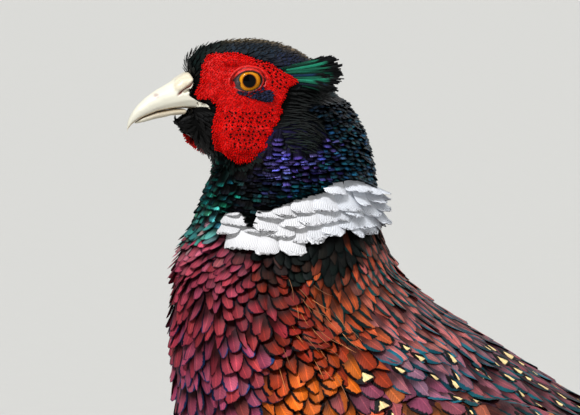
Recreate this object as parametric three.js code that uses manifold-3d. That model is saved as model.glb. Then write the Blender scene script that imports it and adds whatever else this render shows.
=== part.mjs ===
// A male common pheasant at life size, standing still with its head up and turned a little to its left.
// Millimetres, +Z up, floor at Z = 0. The bird faces -X, its left side is -Y, and X = 0 lies under its eye.
// Each named part is one closed solid, and neighbours meet face to face across a thin cut.
import * as THREE from "three";
import { mergeVertices } from "three/addons/utils/BufferGeometryUtils.js";
import Module from "manifold-3d";

const wasm = await Module();
wasm.setup();

// Driving dimensions
const CUT = 0.3; // gap between two parts that touch
const EYE_HEIGHT = 414;
const HEAD_TURN = 15; // degrees to the bird's left
const HEAD_PIVOT_X = 20;
const EYE = new THREE.Vector3(-3.4, 9.4, EYE_HEIGHT); // the ball's middle, before the head turns
const EYE_RADIUS = 7;
const FACE_THICKNESS = 1.5;
const VANE_THICKNESS = 0.65;
const VANE_STEP = 1.1; // from the face of one vane to the same face of the next
const TAIL_ROOT = new THREE.Vector3(258, 0, 228);
const TAIL_LENGTH = 484;
const TAIL_DROP = 9; // degrees below level at the root
const TAIL_LIFT = 0.00006; // how much the tail levels out, per millimetre squared
const HOCK_HEIGHT = 76;
const FOOT_X = 106;
const FOOT_STEP = 9; // the left foot stands this far ahead of the middle, the right one behind it
const FOOT_Y = 34;

// Materials
const paint = (colour, roughness = 0.6, metalness = 0) =>
  new THREE.MeshStandardMaterial({ color: colour, roughness, metalness });
const darkGreen = paint(0x0d2a2c, 0.4, 0.3);
const violetBlue = paint(0x17204a, 0.4, 0.4);
const faceRed = paint(0xc31310, 0.65);
const ivory = paint(0xd9d3b8, 0.4);
const amber = paint(0xd98a1c, 0.1);
const white = paint(0xe8e6e2, 0.7);
const maroon = paint(0x6e1f22, 0.5, 0.3);
const wingBrown = paint(0x8a7a62, 0.7);
const tailBuff = paint(0x8d6b45, 0.7);
const legBrown = paint(0x4a3326, 0.8);
const legGrey = paint(0x8b8474, 0.6);
const clawHorn = paint(0x3c3630, 0.4);

// Cross-sections of the neck and body, from inside the head to the root of the tail:
// back X, back Z, breast X, breast Z, half width
const BODY = [
  [25, 413, -1, 408, 15.5],
  [36, 406, -6.5, 399, 20.5],
  [42.5, 395, -12, 388, 24],
  [47, 382, -15, 378, 27],
  [49, 369, -18.5, 369, 30],
  [51.5, 356, -22.5, 358, 33],
  [58.5, 343, -27.5, 345, 38],
  [76, 330, -30, 326, 46],
  [100, 315, -29, 301, 54],
  [125, 298, -23, 268, 60],
  [150, 284, -9, 234, 64],
  [175, 272, 16, 198, 66],
  [197, 263, 50, 170, 65],
  [216, 256, 93, 153, 60],
  [232, 250, 138, 151, 52],
  [245, 245, 180, 166, 41],
  [256, 241, 214, 188, 29],
  [269, 236.5, 241, 204, 18.5],
  [286, 231, 266, 212, 11],
];

// Cross-sections of the head before it turns, from the chin's point to the nape:
// X, top Z, bottom Z, half width
const HEAD = [
  [-30.5, 402.5, 400.2, 1.5],
  [-27.5, 419, 397.5, 5.5],
  [-23.5, 424.4, 392.5, 8.2],
  [-18, 427.8, 386.6, 11],
  [-10, 429.6, 384.4, 14.2],
  [0, 430, 384, 16.6],
  [9, 429, 386, 17.2],
  [17, 426.2, 389, 16.2],
  [24, 421.5, 394, 13.2],
  [30, 414.5, 400, 8],
];

const v3 = (x, y, z) => new THREE.Vector3(x, y, z);

// Solids from three.js geometry

function signedVolume(points, triangles) {
  let six = 0;
  const [a, b, c] = [v3(), v3(), v3()];
  for (let i = 0; i < triangles.length; i += 3) {
    a.copy(points[triangles[i]]);
    b.copy(points[triangles[i + 1]]);
    c.copy(points[triangles[i + 2]]);
    six += a.dot(b.cross(c));
  }
  return six / 6;
}

function solidOfTriangles(points, triangles) {
  if (signedVolume(points, triangles) < 0) {
    for (let i = 0; i < triangles.length; i += 3) {
      [triangles[i + 1], triangles[i + 2]] = [triangles[i + 2], triangles[i + 1]];
    }
  }
  const vertProperties = new Float32Array(points.flatMap((p) => [p.x, p.y, p.z]));
  const mesh = new wasm.Mesh({ numProp: 3, vertProperties, triVerts: new Uint32Array(triangles) });
  return new wasm.Manifold(mesh);
}

function solidOf(geometry) {
  const bare = geometry.clone();
  bare.deleteAttribute("normal");
  bare.deleteAttribute("uv");
  const merged = mergeVertices(bare, 1e-4);
  const at = merged.attributes.position;
  const points = Array.from({ length: at.count }, (_, i) => v3().fromBufferAttribute(at, i));
  const kept = [];
  const index = Array.from(merged.index.array);
  for (let i = 0; i < index.length; i += 3) {
    const [a, b, c] = index.slice(i, i + 3);
    if (a !== b && b !== c && a !== c) kept.push(a, b, c);
  }
  return solidOfTriangles(points, kept);
}

function geometryOf(solid) {
  const { numVert, numProp, vertProperties, triVerts } = solid.getMesh();
  const position = new Float32Array(numVert * 3);
  for (let i = 0; i < numVert; i++) {
    position.set(vertProperties.subarray(i * numProp, i * numProp + 3), i * 3);
  }
  const geometry = new THREE.BufferGeometry()
    .setAttribute("position", new THREE.BufferAttribute(position, 3))
    .setIndex(new THREE.BufferAttribute(triVerts, 1));
  geometry.computeVertexNormals();
  return geometry;
}

// Rings of points of equal count, joined in order and closed with a fan at each end. A side listed in
// turnedSides is split along its other diagonal.
function loft(rings, turnedSides = []) {
  const sides = rings[0].length;
  const points = rings.flat();
  const triangles = [];
  for (let r = 0; r + 1 < rings.length; r++) {
    for (let j = 0; j < sides; j++) {
      const k = (j + 1) % sides;
      const [a, b, c, d] = [r * sides + j, r * sides + k, (r + 1) * sides + k, (r + 1) * sides + j];
      triangles.push(...(turnedSides.includes(j) ? [a, b, d, b, c, d] : [a, b, c, a, c, d]));
    }
  }
  for (const end of [0, rings.length - 1]) {
    const middle = rings[end].reduce((sum, p) => sum.add(p), v3()).divideScalar(sides);
    const hub = points.push(middle) - 1;
    for (let j = 0; j < sides; j++) {
      const [a, b] = [end * sides + j, end * sides + ((j + 1) % sides)];
      triangles.push(...(end ? [a, b, hub] : [b, a, hub]));
    }
  }
  return solidOfTriangles(points, triangles);
}

// A feather's vane. Each row holds its upper and lower face at one edge, the shaft and the other edge.
// Both faces are split alike, so that a thin curved vane never crosses itself.
function vane(rows) {
  const rings = rows.map(({ upper, lower }) => [...upper, ...lower.toReversed()]);
  return loft(rings, [3, 4]);
}

const union = (solids) => solids.reduce((all, next) => all.add(next));

// The largest closed body of a solid, so that no scrap of a cut is kept.
function largest(solid) {
  return solid.decompose().sort((a, b) => b.volume() - a.volume())[0];
}

// An outline in side view, made solid across the whole bird or on one side of it.
function prism(outline, nearY, farY) {
  const shape = new THREE.Shape(outline.map(([x, z]) => new THREE.Vector2(x, z)));
  const geometry = new THREE.ExtrudeGeometry(shape, { depth: farY - nearY, bevelEnabled: false });
  geometry.rotateX(Math.PI / 2);
  return solidOf(geometry).translate([0, farY, 0]);
}

// The neck and body as one smooth loft

const spline = (points) => new THREE.CatmullRomCurve3(points);
const bodyBack = spline(BODY.map(([x, z, , , w]) => v3(x, w, z)));
const bodyFront = spline(BODY.map(([, , x, z, w]) => v3(x, w, z)));

// A point of the body's skin. t runs 0 to 1 from the head to the tail, and angle starts at the back.
function bodyPoint(back, front, t, angle, grow) {
  const b = back.getPoint(t);
  const f = front.getPoint(t);
  const half = new THREE.Vector2(b.x - f.x, b.z - f.z).multiplyScalar(0.5);
  const reach = (half.length() + grow) / half.length();
  const lift = Math.cos(angle) * reach;
  const x = (b.x + f.x) / 2 + half.x * lift;
  const z = (b.z + f.z) / 2 + half.y * lift;
  return v3(x, -(b.y + grow) * Math.sin(angle), z);
}

function bodyLoft(grow, steps = 30, sides = 22) {
  const rings = [];
  for (let r = 0; r <= steps; r++) {
    const ring = [];
    for (let j = 0; j < sides; j++) {
      ring.push(bodyPoint(bodyBack, bodyFront, r / steps, (2 * Math.PI * j) / sides, grow));
    }
    rings.push(ring);
  }
  return loft(rings);
}

// The head, turned on the neck

function headLoft(grow, sides = 20) {
  const rings = HEAD.map(([x, top, bottom, half]) => {
    const ring = [];
    for (let j = 0; j < sides; j++) {
      const angle = (2 * Math.PI * j) / sides;
      const z = (top + bottom) / 2 + Math.cos(angle) * ((top - bottom) / 2 + grow);
      ring.push(v3(x, -(half + grow) * Math.sin(angle), z));
    }
    return ring;
  });
  return loft(rings);
}

function turned(solid) {
  return solid
    .translate([-HEAD_PIVOT_X, 0, 0])
    .rotate([0, 0, HEAD_TURN])
    .translate([HEAD_PIVOT_X, 0, 0]);
}

const body = bodyLoft(0);
const head = turned(headLoft(0));
const coatGap = union([bodyLoft(CUT), turned(headLoft(CUT))]);
const whole = body.add(head);

// Cuts between head, neck and torso: a point on the plane in side view, and its tilt in degrees
const THROAT_CUT = { x: -13.5, z: 384.2, tilt: 26.5 };
const COLLAR_CUT = { x: -22, z: 352, tilt: 0 };

function planeOf({ x, z, tilt }) {
  const angle = THREE.MathUtils.degToRad(tilt);
  const normal = [-Math.sin(angle), 0, Math.cos(angle)];
  return { normal, offset: x * normal[0] + z * normal[2] };
}

function above(solid, cut) {
  const { normal, offset } = planeOf(cut);
  return solid.trimByPlane(normal, offset + CUT / 2);
}

function below(solid, cut) {
  const { normal, offset } = planeOf(cut);
  return solid.trimByPlane(normal.map((n) => -n), -offset + CUT / 2);
}

// The bill. Stations from the hooked tip to the base: X, culmen Z, edge Z, half width
const UPPER_BILL = [
  [-46.9, 396, 394.4, 0.35],
  [-46.5, 399.2, 396.2, 0.9],
  [-45.2, 402, 397.9, 1.6],
  [-43, 405, 399.6, 2.5],
  [-40, 407.8, 401, 3.4],
  [-36, 410.6, 402.5, 4.3],
  [-31.5, 413.1, 403.4, 5.4],
  [-26, 416.4, 403.9, 6.9],
  [-20, 420, 403.5, 9],
  [-14, 420, 402.6, 11],
];
const LOWER_BILL = [
  [-44, 399, 398.2, 0.9],
  [-41, 401, 398.7, 2.1],
  [-36, 402.7, 400, 3.3],
  [-30, 403.7, 401.1, 4.6],
  [-25, 404, 401.7, 5.8],
  [-20, 404, 401.8, 7.4],
];
// The edge of the feathers round the base of the bill, in side view
const FEATHER_EDGE = [
  [-24.4, 418.2],
  [-23.4, 415.6],
  [-22.6, 413.2],
  [-24, 411],
  [-24.6, 408.8],
  [-21.4, 406.8],
  [-18.6, 405.8],
  [-16.6, 403],
  [-21, 403.2],
  [-25, 403.6],
  [-25.4, 401.4],
  [-31.5, 400.9],
];

function billLoft(stations, grow, sides = 12) {
  const rings = stations.map(([x, top, bottom, half]) => {
    const ring = [];
    for (let j = 0; j < sides; j++) {
      const angle = (2 * Math.PI * j) / sides;
      const up = Math.cos(angle);
      // Flat below and narrow above, as a bill is
      const round = Math.sin(angle);
      const width = up > 0 ? round : Math.sign(round) * Math.sqrt(Math.abs(round));
      ring.push(v3(x, (half + grow) * width, (top + bottom) / 2 + up * ((top - bottom) / 2 + grow)));
    }
    return ring;
  });
  return loft(rings);
}

// Draws a closed outline in by a distance, corner by corner. The outline runs anticlockwise or clockwise.
function inset(outline, distance) {
  const count = outline.length;
  const way = THREE.ShapeUtils.isClockWise(outline.map(([x, y]) => new THREE.Vector2(x, y))) ? -1 : 1;
  return outline.map(([x, y], i) => {
    const [px, py] = outline[(i + count - 1) % count];
    const [qx, qy] = outline[(i + 1) % count];
    const before = new THREE.Vector2(-(y - py), x - px).normalize();
    const after = new THREE.Vector2(-(qy - y), qx - x).normalize();
    const corner = before.clone().add(after).normalize();
    const reach = (way * distance) / corner.dot(before);
    return [x + corner.x * reach, y + corner.y * reach];
  });
}

// The space of the bill, in front of the feathers, drawn in by a distance.
function billSpace(distance) {
  const outline = [...FEATHER_EDGE, [-37, 397.4], [-44, 391], [-60, 388], [-60, 432], [-31, 426]];
  return prism(inset(outline, distance), -20, 20);
}

const MOUTH_GAP = 0.3;
const NOSTRIL = { x: -25.6, y: 5.4, z: 410.3, length: 2.6, height: 0.55, depth: 1.6, tilt: 28 };
const NOSTRIL_FLAP = { x: -26.2, y: 4.6, z: 412.4, length: 4.3, height: 2.3, depth: 1.9, tilt: 30 };

// A rounded bulb: an ellipsoid of the given half lengths
function bulb(halfX, halfY, halfZ, x, y, z, tilt = 0, turns = 8, rows = 6) {
  const geometry = new THREE.SphereGeometry(1, turns, rows);
  geometry.scale(halfX, halfY, halfZ);
  geometry.rotateY(THREE.MathUtils.degToRad(tilt));
  geometry.translate(x, y, z);
  return solidOf(geometry);
}

function upperBill() {
  const nostrils = [];
  let bill = billLoft(UPPER_BILL, 0);
  for (const side of [-1, 1]) {
    const { x, y, z, length, height, depth, tilt } = NOSTRIL_FLAP;
    bill = bill.add(bulb(length, depth, height, x, side * y, z, -tilt, 8, 6));
    const n = NOSTRIL;
    nostrils.push(bulb(n.length, n.depth, n.height, n.x, side * (n.y + 1), n.z, -n.tilt, 6, 4));
  }
  bill = bill.subtract(union(nostrils)).intersect(billSpace(CUT));
  return turned(largest(bill));
}

function lowerBill() {
  const bill = billLoft(LOWER_BILL, 0).subtract(billLoft(UPPER_BILL, MOUTH_GAP));
  return turned(largest(bill.intersect(billSpace(CUT))));
}

// Eyes and lids, before the head turns

function eyeBall(side, grow) {
  const geometry = new THREE.SphereGeometry(EYE_RADIUS + grow, 12, 8);
  geometry.translate(EYE.x, side * EYE.y, EYE.z);
  return solidOf(geometry);
}

const LID_OPENING = { halfLength: 5.4, halfHeight: 3.9, tilt: -9, lean: 10, rim: 0.85, y: 15.4 };

// The almond between the lids, cut through the face
function lidOpening(side) {
  const { halfLength, halfHeight, tilt } = LID_OPENING;
  const turn = THREE.MathUtils.degToRad(-tilt);
  const curve = new THREE.EllipseCurve(EYE.x, EYE.z, halfLength, halfHeight, 0, 2 * Math.PI, false, turn);
  const outline = curve.getPoints(14).slice(1).map((p) => [p.x, p.y]);
  return prism(outline, ...(side < 0 ? [-40, -8] : [8, 40]));
}

function lids(side) {
  const { halfLength, halfHeight, tilt, lean, rim, y } = LID_OPENING;
  const geometry = new THREE.TorusGeometry(1, 0.2, 4, 14);
  geometry.scale(halfLength + rim / 2, halfHeight + rim / 2, rim / 0.2);
  geometry.rotateX(Math.PI / 2);
  geometry.rotateY(THREE.MathUtils.degToRad(tilt));
  geometry.rotateX(THREE.MathUtils.degToRad(side * lean));
  geometry.translate(EYE.x, side * y, EYE.z);
  return solidOf(geometry);
}

// The bare red face: outline in side view before the head turns
const FACE_OUTLINE = [
  [-18.4, 423.2],
  [-15.5, 424.5],
  [-8, 424.3],
  [-1, 422],
  [4, 420.6],
  [9.6, 417],
  [15.2, 413.9],
  [10.4, 411.4],
  [8, 403.4],
  [4.1, 394.5],
  [1, 390],
  [-2.4, 386.2],
  [-5.5, 384.4],
  [-8.9, 383.6],
  [-12.3, 384.6],
  [-15.2, 387.6],
  [-16.8, 393],
  [-17.2, 398.6],
  [-15.6, 405],
  [-18.6, 407.6],
  [-22, 407],
  [-23.6, 409.6],
  [-21.4, 413.4],
  [-20.6, 419.6],
];
// Folds of the face: the brow, the cheek and the hanging lobe, as half lengths, place and tilt
const FACE_FOLDS = [
  { half: [10.5, 1.6, 2.1], at: [-4.5, 12.9, 420.4], tilt: 8 },
  { half: [6.5, 1.5, 2.2], at: [-14.5, 12, 411], tilt: -35 },
  { half: [10.6, 4.6, 13.5], at: [-5.4, 12.4, 396], tilt: 0 },
];
// Small bulbs on the hanging lobe, in staggered rows
const FACE_BULBS = { rows: [402.5, 396, 389.5], columns: [-11.7, -6.9, -2.1, 2.6], radius: 2, height: 0.8 };

function face(side) {
  const folds = FACE_FOLDS.map(({ half, at: [x, y, z], tilt }) => bulb(...half, x, side * y, z, tilt, 10, 6));
  const lobe = FACE_FOLDS.at(-1);
  const bulbs = FACE_BULBS.rows.flatMap((z, row) =>
    FACE_BULBS.columns.map((column) => {
      const x = column + (row % 2 ? 0.9 : -1.1);
      const outward = 1 - ((x - lobe.at[0]) / lobe.half[0]) ** 2 - ((z - lobe.at[2]) / lobe.half[2]) ** 2;
      const y = lobe.at[1] + lobe.half[1] * Math.sqrt(Math.max(0, outward));
      const { radius, height } = FACE_BULBS;
      return bulb(radius, height, radius, x, side * y, z, 0, 6, 3);
    }),
  );
  const grown = union([headLoft(FACE_THICKNESS), ...folds, ...bulbs]);
  const skin = grown.intersect(prism(FACE_OUTLINE, ...(side < 0 ? [-40, -7.5] : [7.5, 40])));
  const opened = skin.subtract(lidOpening(side)).add(lids(side));
  return largest(turned(opened).subtract(coatGap).subtract(turned(eyeBall(side, CUT))));
}

// Ear tufts: pointed vanes fanned out behind the ear, on a short core
const TUFT = { x: 12.4, y: 12.2, z: 416.4, length: 21.5, width: 6, vanes: 4, fan: 2.6, spread: 1.3 };

function earTuft(side) {
  const { x, y, z, length, width, vanes, fan, spread } = TUFT;
  const core = bulb(8, 3.4, 4, x + 5.5, side * (y + 0.6), z - 0.4, 6, 8, 6);
  const blades = Array.from({ length: vanes }, (_, i) => {
    const level = i - (vanes - 1) / 2;
    const rise = THREE.MathUtils.degToRad(4 - level * fan);
    const lift = 0.4 + (vanes - 1 - i) * 0.98;
    const along = v3(Math.cos(rise), side * 0.1, Math.sin(rise));
    const out = v3(-0.1, side, 0).normalize();
    const reach = length * (1 - 0.06 * Math.abs(level));
    const rows = [
      [0, 0.6, 1],
      [0.45, 1, 1],
      [0.85, 0.7, 0.9],
      [1, 0.12, 0.6],
    ].map(([s, wide, thick]) => {
      const middle = v3(x + 1, side * y, z - level * spread)
        .addScaledVector(along, s * reach)
        .addScaledVector(v3(0, 0, -1), 2.2 * s * s)
        .addScaledVector(out, lift);
      const half = (wide * width) / 2;
      const edge = (across, height) => {
        return middle.clone().add(v3(0, 0, across * half)).addScaledVector(out, height);
      };
      const t = VANE_THICKNESS * thick;
      return {
        upper: [edge(1, t), edge(0, t + 0.2 * wide), edge(-1, t)],
        lower: [edge(1, 0), edge(0, 0.2 * wide), edge(-1, 0)],
      };
    });
    return vane(rows);
  });
  return largest(turned(union([core, ...blades])).subtract(coatGap));
}

// The white ring round the neck: two rows of fan-shaped feathers on a thin band, open in front
const RING = {
  top: { x: -20, z: 366, tilt: 9.5 },
  foot: { x: -20, z: 348.5, tilt: 6.5 },
  gapX: -11.5,
  bandThickness: 1.5,
  rows: [
    { from: 0.38, to: 1.06, lift: 0.8, rise: 1.4 },
    { from: 0.02, to: 0.66, lift: 1.5, rise: 2.4 },
  ],
  feathersRound: 11,
};

// Where the section of the body at an angle meets a cutting plane, as the loft's t
function whereCut(cut, angle) {
  const { normal, offset } = planeOf(cut);
  let [high, low] = [0.05, 0.6];
  for (let i = 0; i < 24; i++) {
    const t = (high + low) / 2;
    const p = bodyPoint(bodyBack, bodyFront, t, angle, 0);
    if (p.x * normal[0] + p.z * normal[2] > offset) high = t;
    else low = t;
  }
  return high;
}

function ringFeather({ from, to, lift, rise }, angle, halfAngle) {
  const rows = [
    [0, 0.6],
    [0.7, 0.96],
    [1, 0.6],
  ].map(([s, wide]) => {
    const place = (across, height) => {
      const a = angle + across * wide * halfAngle;
      const f = from + (to - from) * s;
      const t = THREE.MathUtils.lerp(whereCut(RING.top, a), whereCut(RING.foot, a), f);
      return bodyPoint(bodyBack, bodyFront, t, a, height);
    };
    const h = lift + rise * s;
    const across = [-1, 0, 1];
    return {
      upper: across.map((a) => place(a, h + VANE_THICKNESS)),
      lower: across.map((a) => place(a, h)),
    };
  });
  return vane(rows);
}

function neckRing() {
  const band = below(above(bodyLoft(RING.bandThickness), RING.foot), RING.top);
  const step = (2 * Math.PI) / RING.feathersRound;
  const feathers = RING.rows.flatMap((row, tier) =>
    Array.from({ length: RING.feathersRound }, (_, i) => (i + tier / 2) * step)
      .filter((angle) => Math.abs(angle - Math.PI) > 1.1 * step)
      .map((angle) => ringFeather(row, angle, 0.47 * step)),
  );
  const ring = union([band, ...feathers]).subtract(bodyLoft(CUT));
  return largest(ring.trimByPlane([1, 0, 0], RING.gapX));
}

// The surface on which a folded wing lies: the body's, carried straight back over the rump
const WING_LAY = [
  ...BODY.slice(0, 14),
  [236, 258, 138, 151, 55],
  [256, 258, 178, 158, 47],
  [277, 258, 214, 166, 39],
  [300, 258, 246, 174, 32],
  [325, 258, 275, 180, 27],
];
const layBack = spline(WING_LAY.map(([x, z, , , w]) => v3(x, w, z)));
const layFront = spline(WING_LAY.map(([, , x, z, w]) => v3(x, w, z)));

// The point over (x, z) in side view that stands out from that surface by a height
function layPoint(side, x, z, height) {
  let [ahead, behind] = [0.2, 1];
  for (let i = 0; i < 22; i++) {
    const t = (ahead + behind) / 2;
    const b = layBack.getPoint(t);
    const f = layFront.getPoint(t);
    if ((b.x - f.x) * (z - f.z) - (b.z - f.z) * (x - f.x) > 0) behind = t;
    else ahead = t;
  }
  const b = layBack.getPoint(ahead);
  const f = layFront.getPoint(ahead);
  const half = new THREE.Vector2(b.x - f.x, b.z - f.z).multiplyScalar(0.5);
  const fromMiddle = new THREE.Vector2(x - (b.x + f.x) / 2, z - (b.z + f.z) / 2);
  const lift = fromMiddle.dot(half) / half.length() / (half.length() + height);
  const across = Math.sqrt(Math.max(0.02, 1 - lift * lift));
  return v3(x, side * (b.y + height) * across, z);
}

// The front of the wing, in side view: a pad under small feathers, from which the long feathers grow
const WING_PAD = {
  middle: [88, 240],
  thickness: 6.6,
  edge: 0.9,
  outline: [
    [22, 262],
    [34, 282],
    [62, 298],
    [96, 297],
    [128, 287],
    [156, 272],
    [170, 250],
    [170, 222],
    [158, 200],
    [132, 187],
    [102, 184],
    [66, 196],
    [38, 222],
    [24, 242],
  ],
  rings: [0.4, 0.75, 1],
};

function wingPad(side) {
  const { middle: [mx, mz], thickness, edge, outline, rings } = WING_PAD;
  const round = new THREE.SplineCurve(
    [...outline, outline[0]].map(([x, z]) => new THREE.Vector2(x, z)),
  ).getPoints(18).slice(1);
  const face = (top) =>
    rings.map((f) =>
      round.map((p) => {
        const height = top ? edge + (thickness - edge) * (1 - f ** 2.6) : -2;
        return layPoint(side, mx + (p.x - mx) * f, mz + (p.y - mz) * f, height);
      }),
    );
  return loft([...face(true), ...face(false).reverse()]);
}

// Tiers of long wing feathers. Their shafts run back from the pad side by side and close up towards the tips.
// first is the top line of the folded wing, and lines are counted down from it.
const WING_TOP = { x: 128, z: 264, slope: -0.24, curve: -0.0006 };
const WING_SPACING = { at: 128, wide: 8, far: 262, narrow: 4.1 };
const FLIGHT = { root: 130, tips: [240, 250, 258, 263, 264, 259, 250, 237, 221], width: 22, lift: 0.7 };
const COVERTS = { root: 108, tips: [178, 187, 190, 187, 179], width: 22, lift: 4.6, step: 1.7, first: 0.6 };
const ROOT_SINK = 2.6; // how far the root of a long wing feather dips into the pad

function wingLine(x, number) {
  const along = x - WING_TOP.x;
  const top = WING_TOP.z + WING_TOP.slope * along + WING_TOP.curve * along * along;
  return top - number * wingSpacing(x);
}

function wingSpacing(x) {
  const { at, wide, far, narrow } = WING_SPACING;
  return wide + ((narrow - wide) * (x - at)) / (far - at);
}

function wingFeather(side, { root, width, lift, step = 1, first = 0 }, number, tip) {
  const rows = [
    [0, 0.5, ROOT_SINK],
    [0.3, 0.96, 0],
    [0.68, 1, 0],
    [0.92, 0.82, 0],
    [1, 0.3, 0],
  ].map(([s, wide, sink]) => {
    const x = root + (tip - root) * s;
    const spacing = wingSpacing(x) * step;
    const crowd = spacing / (wingSpacing(root) * step);
    const tilt = VANE_STEP / spacing;
    const middle = wingLine(x, first + number * step);
    const place = (across, height) => {
      const down = (across * wide * crowd * width) / 2;
      return layPoint(side, x, middle - down, lift - sink + tilt * (down + (crowd * width) / 2) + height);
    };
    const across = [-1, 0, 1];
    const arch = (a) => (a ? 0 : 0.15);
    return {
      upper: across.map((a) => place(a, VANE_THICKNESS + arch(a))),
      lower: across.map((a) => place(a, arch(a))),
    };
  });
  return vane(rows);
}

function wing(side) {
  const feathers = [FLIGHT, COVERTS].flatMap((tier) =>
    tier.tips.map((tip, number) => wingFeather(side, tier, number, tip)),
  );
  return largest(union([wingPad(side), ...feathers]).subtract(bodyLoft(CUT)));
}

// The tail: a roof of paired feathers, each pair under and outside the last and shorter than it
const TAIL_PAIRS = [TAIL_LENGTH, 435, 372, 312, 258, 212, 172, 140, 115];
const TAIL_SHAFT = { first: 3.5, step: 2, rootSpread: 0.6, spreadLength: 70 };
const TAIL_SLOPES = { outer: 0.325, inner: 0.176 }; // how far each web of a feather falls, per millimetre of its width
const TAIL_STACK = { left: 2.4, under: -2.8, step: -1.85 };
const TAIL_VANE = { outer: 13, outerStep: -0.35, inner: 9.5, thickness: 0.8 };

function tailLine(along) {
  const drop = Math.tan(THREE.MathUtils.degToRad(TAIL_DROP));
  return TAIL_ROOT.z - along * drop + along * along * TAIL_LIFT;
}

function tailFeather(side, pair) {
  const length = TAIL_PAIRS[pair];
  const { left, under, step } = TAIL_STACK;
  const level = pair ? under + (pair - 1) * step : side < 0 ? left : 0;
  const outer = TAIL_VANE.outer + pair * TAIL_VANE.outerStep;
  const rows = [
    [0, 0.4],
    [0.12, 0.85],
    [0.4, 1],
    [0.7, 0.8],
    [0.9, 0.46],
    [1, 0.06],
  ].map(([s, wide]) => {
    const along = s * length;
    const { first, step: between, rootSpread, spreadLength } = TAIL_SHAFT;
    const spread = Math.min(1, THREE.MathUtils.lerp(rootSpread, 1, along / spreadLength));
    const shaft = (first + between * pair) * spread;
    const inner = pair ? Math.min(TAIL_VANE.inner * wide, shaft - 0.4) : TAIL_VANE.inner * wide;
    const x = TAIL_ROOT.x + along;
    const z = tailLine(along) + level;
    const place = (y, drop, height) => v3(x, side * y, z - drop + height);
    const face = (height) => [
      place(shaft - inner, inner * TAIL_SLOPES.inner, height),
      place(shaft, 0, height),
      place(shaft + outer * wide, outer * wide * TAIL_SLOPES.outer, height),
    ];
    return { upper: face(TAIL_VANE.thickness), lower: face(0) };
  });
  return vane(rows);
}

function tail() {
  const stations = [
    [258, 15, 9],
    [272, 18.5, 11.5],
    [286, 20, 10.5],
    [300, 14, 5.5],
  ];
  const root = tube(
    stations.map(([x, halfWidth, halfHeight]) => {
      return { x, y: 0, z: tailLine(x - TAIL_ROOT.x) - 7.5, halfWidth, halfHeight };
    }),
  );
  const feathers = TAIL_PAIRS.flatMap((_, pair) => [tailFeather(-1, pair), tailFeather(1, pair)]);
  return largest(union([root, ...feathers]).subtract(bodyLoft(CUT)));
}

// A tube along X with oval sections
function tube(stations, sides = 8) {
  const rings = stations.map(({ x, y, z, halfWidth, halfHeight }) =>
    Array.from({ length: sides }, (_, j) => {
      const angle = (2 * Math.PI * j) / sides;
      return v3(x, y + halfWidth * Math.sin(angle), z + halfHeight * Math.cos(angle));
    }),
  );
  return loft(rings);
}

// Legs stand on a foot whose middle is the origin of its group. An upright limb has level oval sections:
// X, Y, Z, half length and half width.
function limb(stations, sides = 10) {
  const rings = stations.map(([x, y, z, halfLength, halfWidth]) =>
    Array.from({ length: sides }, (_, j) => {
      const angle = (2 * Math.PI * j) / sides;
      return v3(x + halfLength * Math.cos(angle), y + halfWidth * Math.sin(angle), z);
    }),
  );
  return loft(rings);
}

const HOCK_BACK = 25; // the hock stands this far behind the foot
const footX = (side) => FOOT_X + side * FOOT_STEP;

function thigh(side) {
  const hockX = footX(side) + HOCK_BACK;
  const stations = [
    [hockX - 44, side * 26, 206, 22, 14],
    [hockX - 43, side * 31, 186, 30, 21],
    [hockX - 38, side * 35, 160, 29, 21.5],
    [hockX - 25, side * 37, 132, 22, 17],
    [hockX - 11, side * 36, 108, 14.5, 12],
    [hockX - 3, side * 35, 92, 9.5, 8.5],
    [hockX + 0.5, side * 34.2, HOCK_HEIGHT + 5, 6.6, 6],
  ];
  const underWing = prism(inset(WING_PAD.outline, -2 * CUT), ...(side < 0 ? [-120, -30] : [30, 120]));
  return largest(limb(stations, 12).subtract(bodyLoft(CUT)).subtract(underWing));
}

const SHANK = [
  [HOCK_BACK + 0.5, HOCK_HEIGHT + 5 - CUT, 6.2, 5.6],
  [HOCK_BACK + 0.4, HOCK_HEIGHT, 6.6, 5.8],
  [HOCK_BACK - 3, HOCK_HEIGHT - 9, 5, 4.4],
  [HOCK_BACK - 10, 44, 4.3, 3.7],
  [5, 22, 4.5, 4.1],
  [1.5, 13, 5.4, 5.4],
];
const SCUTES = { rows: 6, from: 17, to: HOCK_HEIGHT - 6, half: [1.2, 2.5, 4.2], sink: 0.45, spread: 32 };

// The shank's middle and half widths at a height
function shankAt(z) {
  const below = SHANK.findIndex(([, at]) => at <= z);
  const [upper, lower] = [SHANK[Math.max(0, below - 1)], SHANK[Math.max(1, below)]];
  const s = (z - lower[1]) / (upper[1] - lower[1]);
  return [0, 2, 3].map((i) => THREE.MathUtils.lerp(lower[i], upper[i], s));
}

function shankTube(grow) {
  return limb(SHANK.map(([x, z, length, width]) => [x, 0, z, length + grow, width + grow]));
}

// Two staggered rows of plates down the front of the shank
function scutes() {
  const { rows, from, to, half, sink, spread } = SCUTES;
  return [-1, 1].flatMap((hand) =>
    Array.from({ length: rows }, (_, i) => {
      const z = from + ((to - from) * (i + 0.25 + 0.25 * hand)) / rows;
      const [x, length, width] = shankAt(z);
      const angle = THREE.MathUtils.degToRad(180 - hand * spread);
      const front = x + (length - sink) * Math.cos(angle);
      return bulb(...half, front, (width - sink) * Math.sin(angle), z, 18, 6, 3);
    }),
  );
}

function shank() {
  return largest(union([shankTube(0), ...scutes()]));
}

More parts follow.
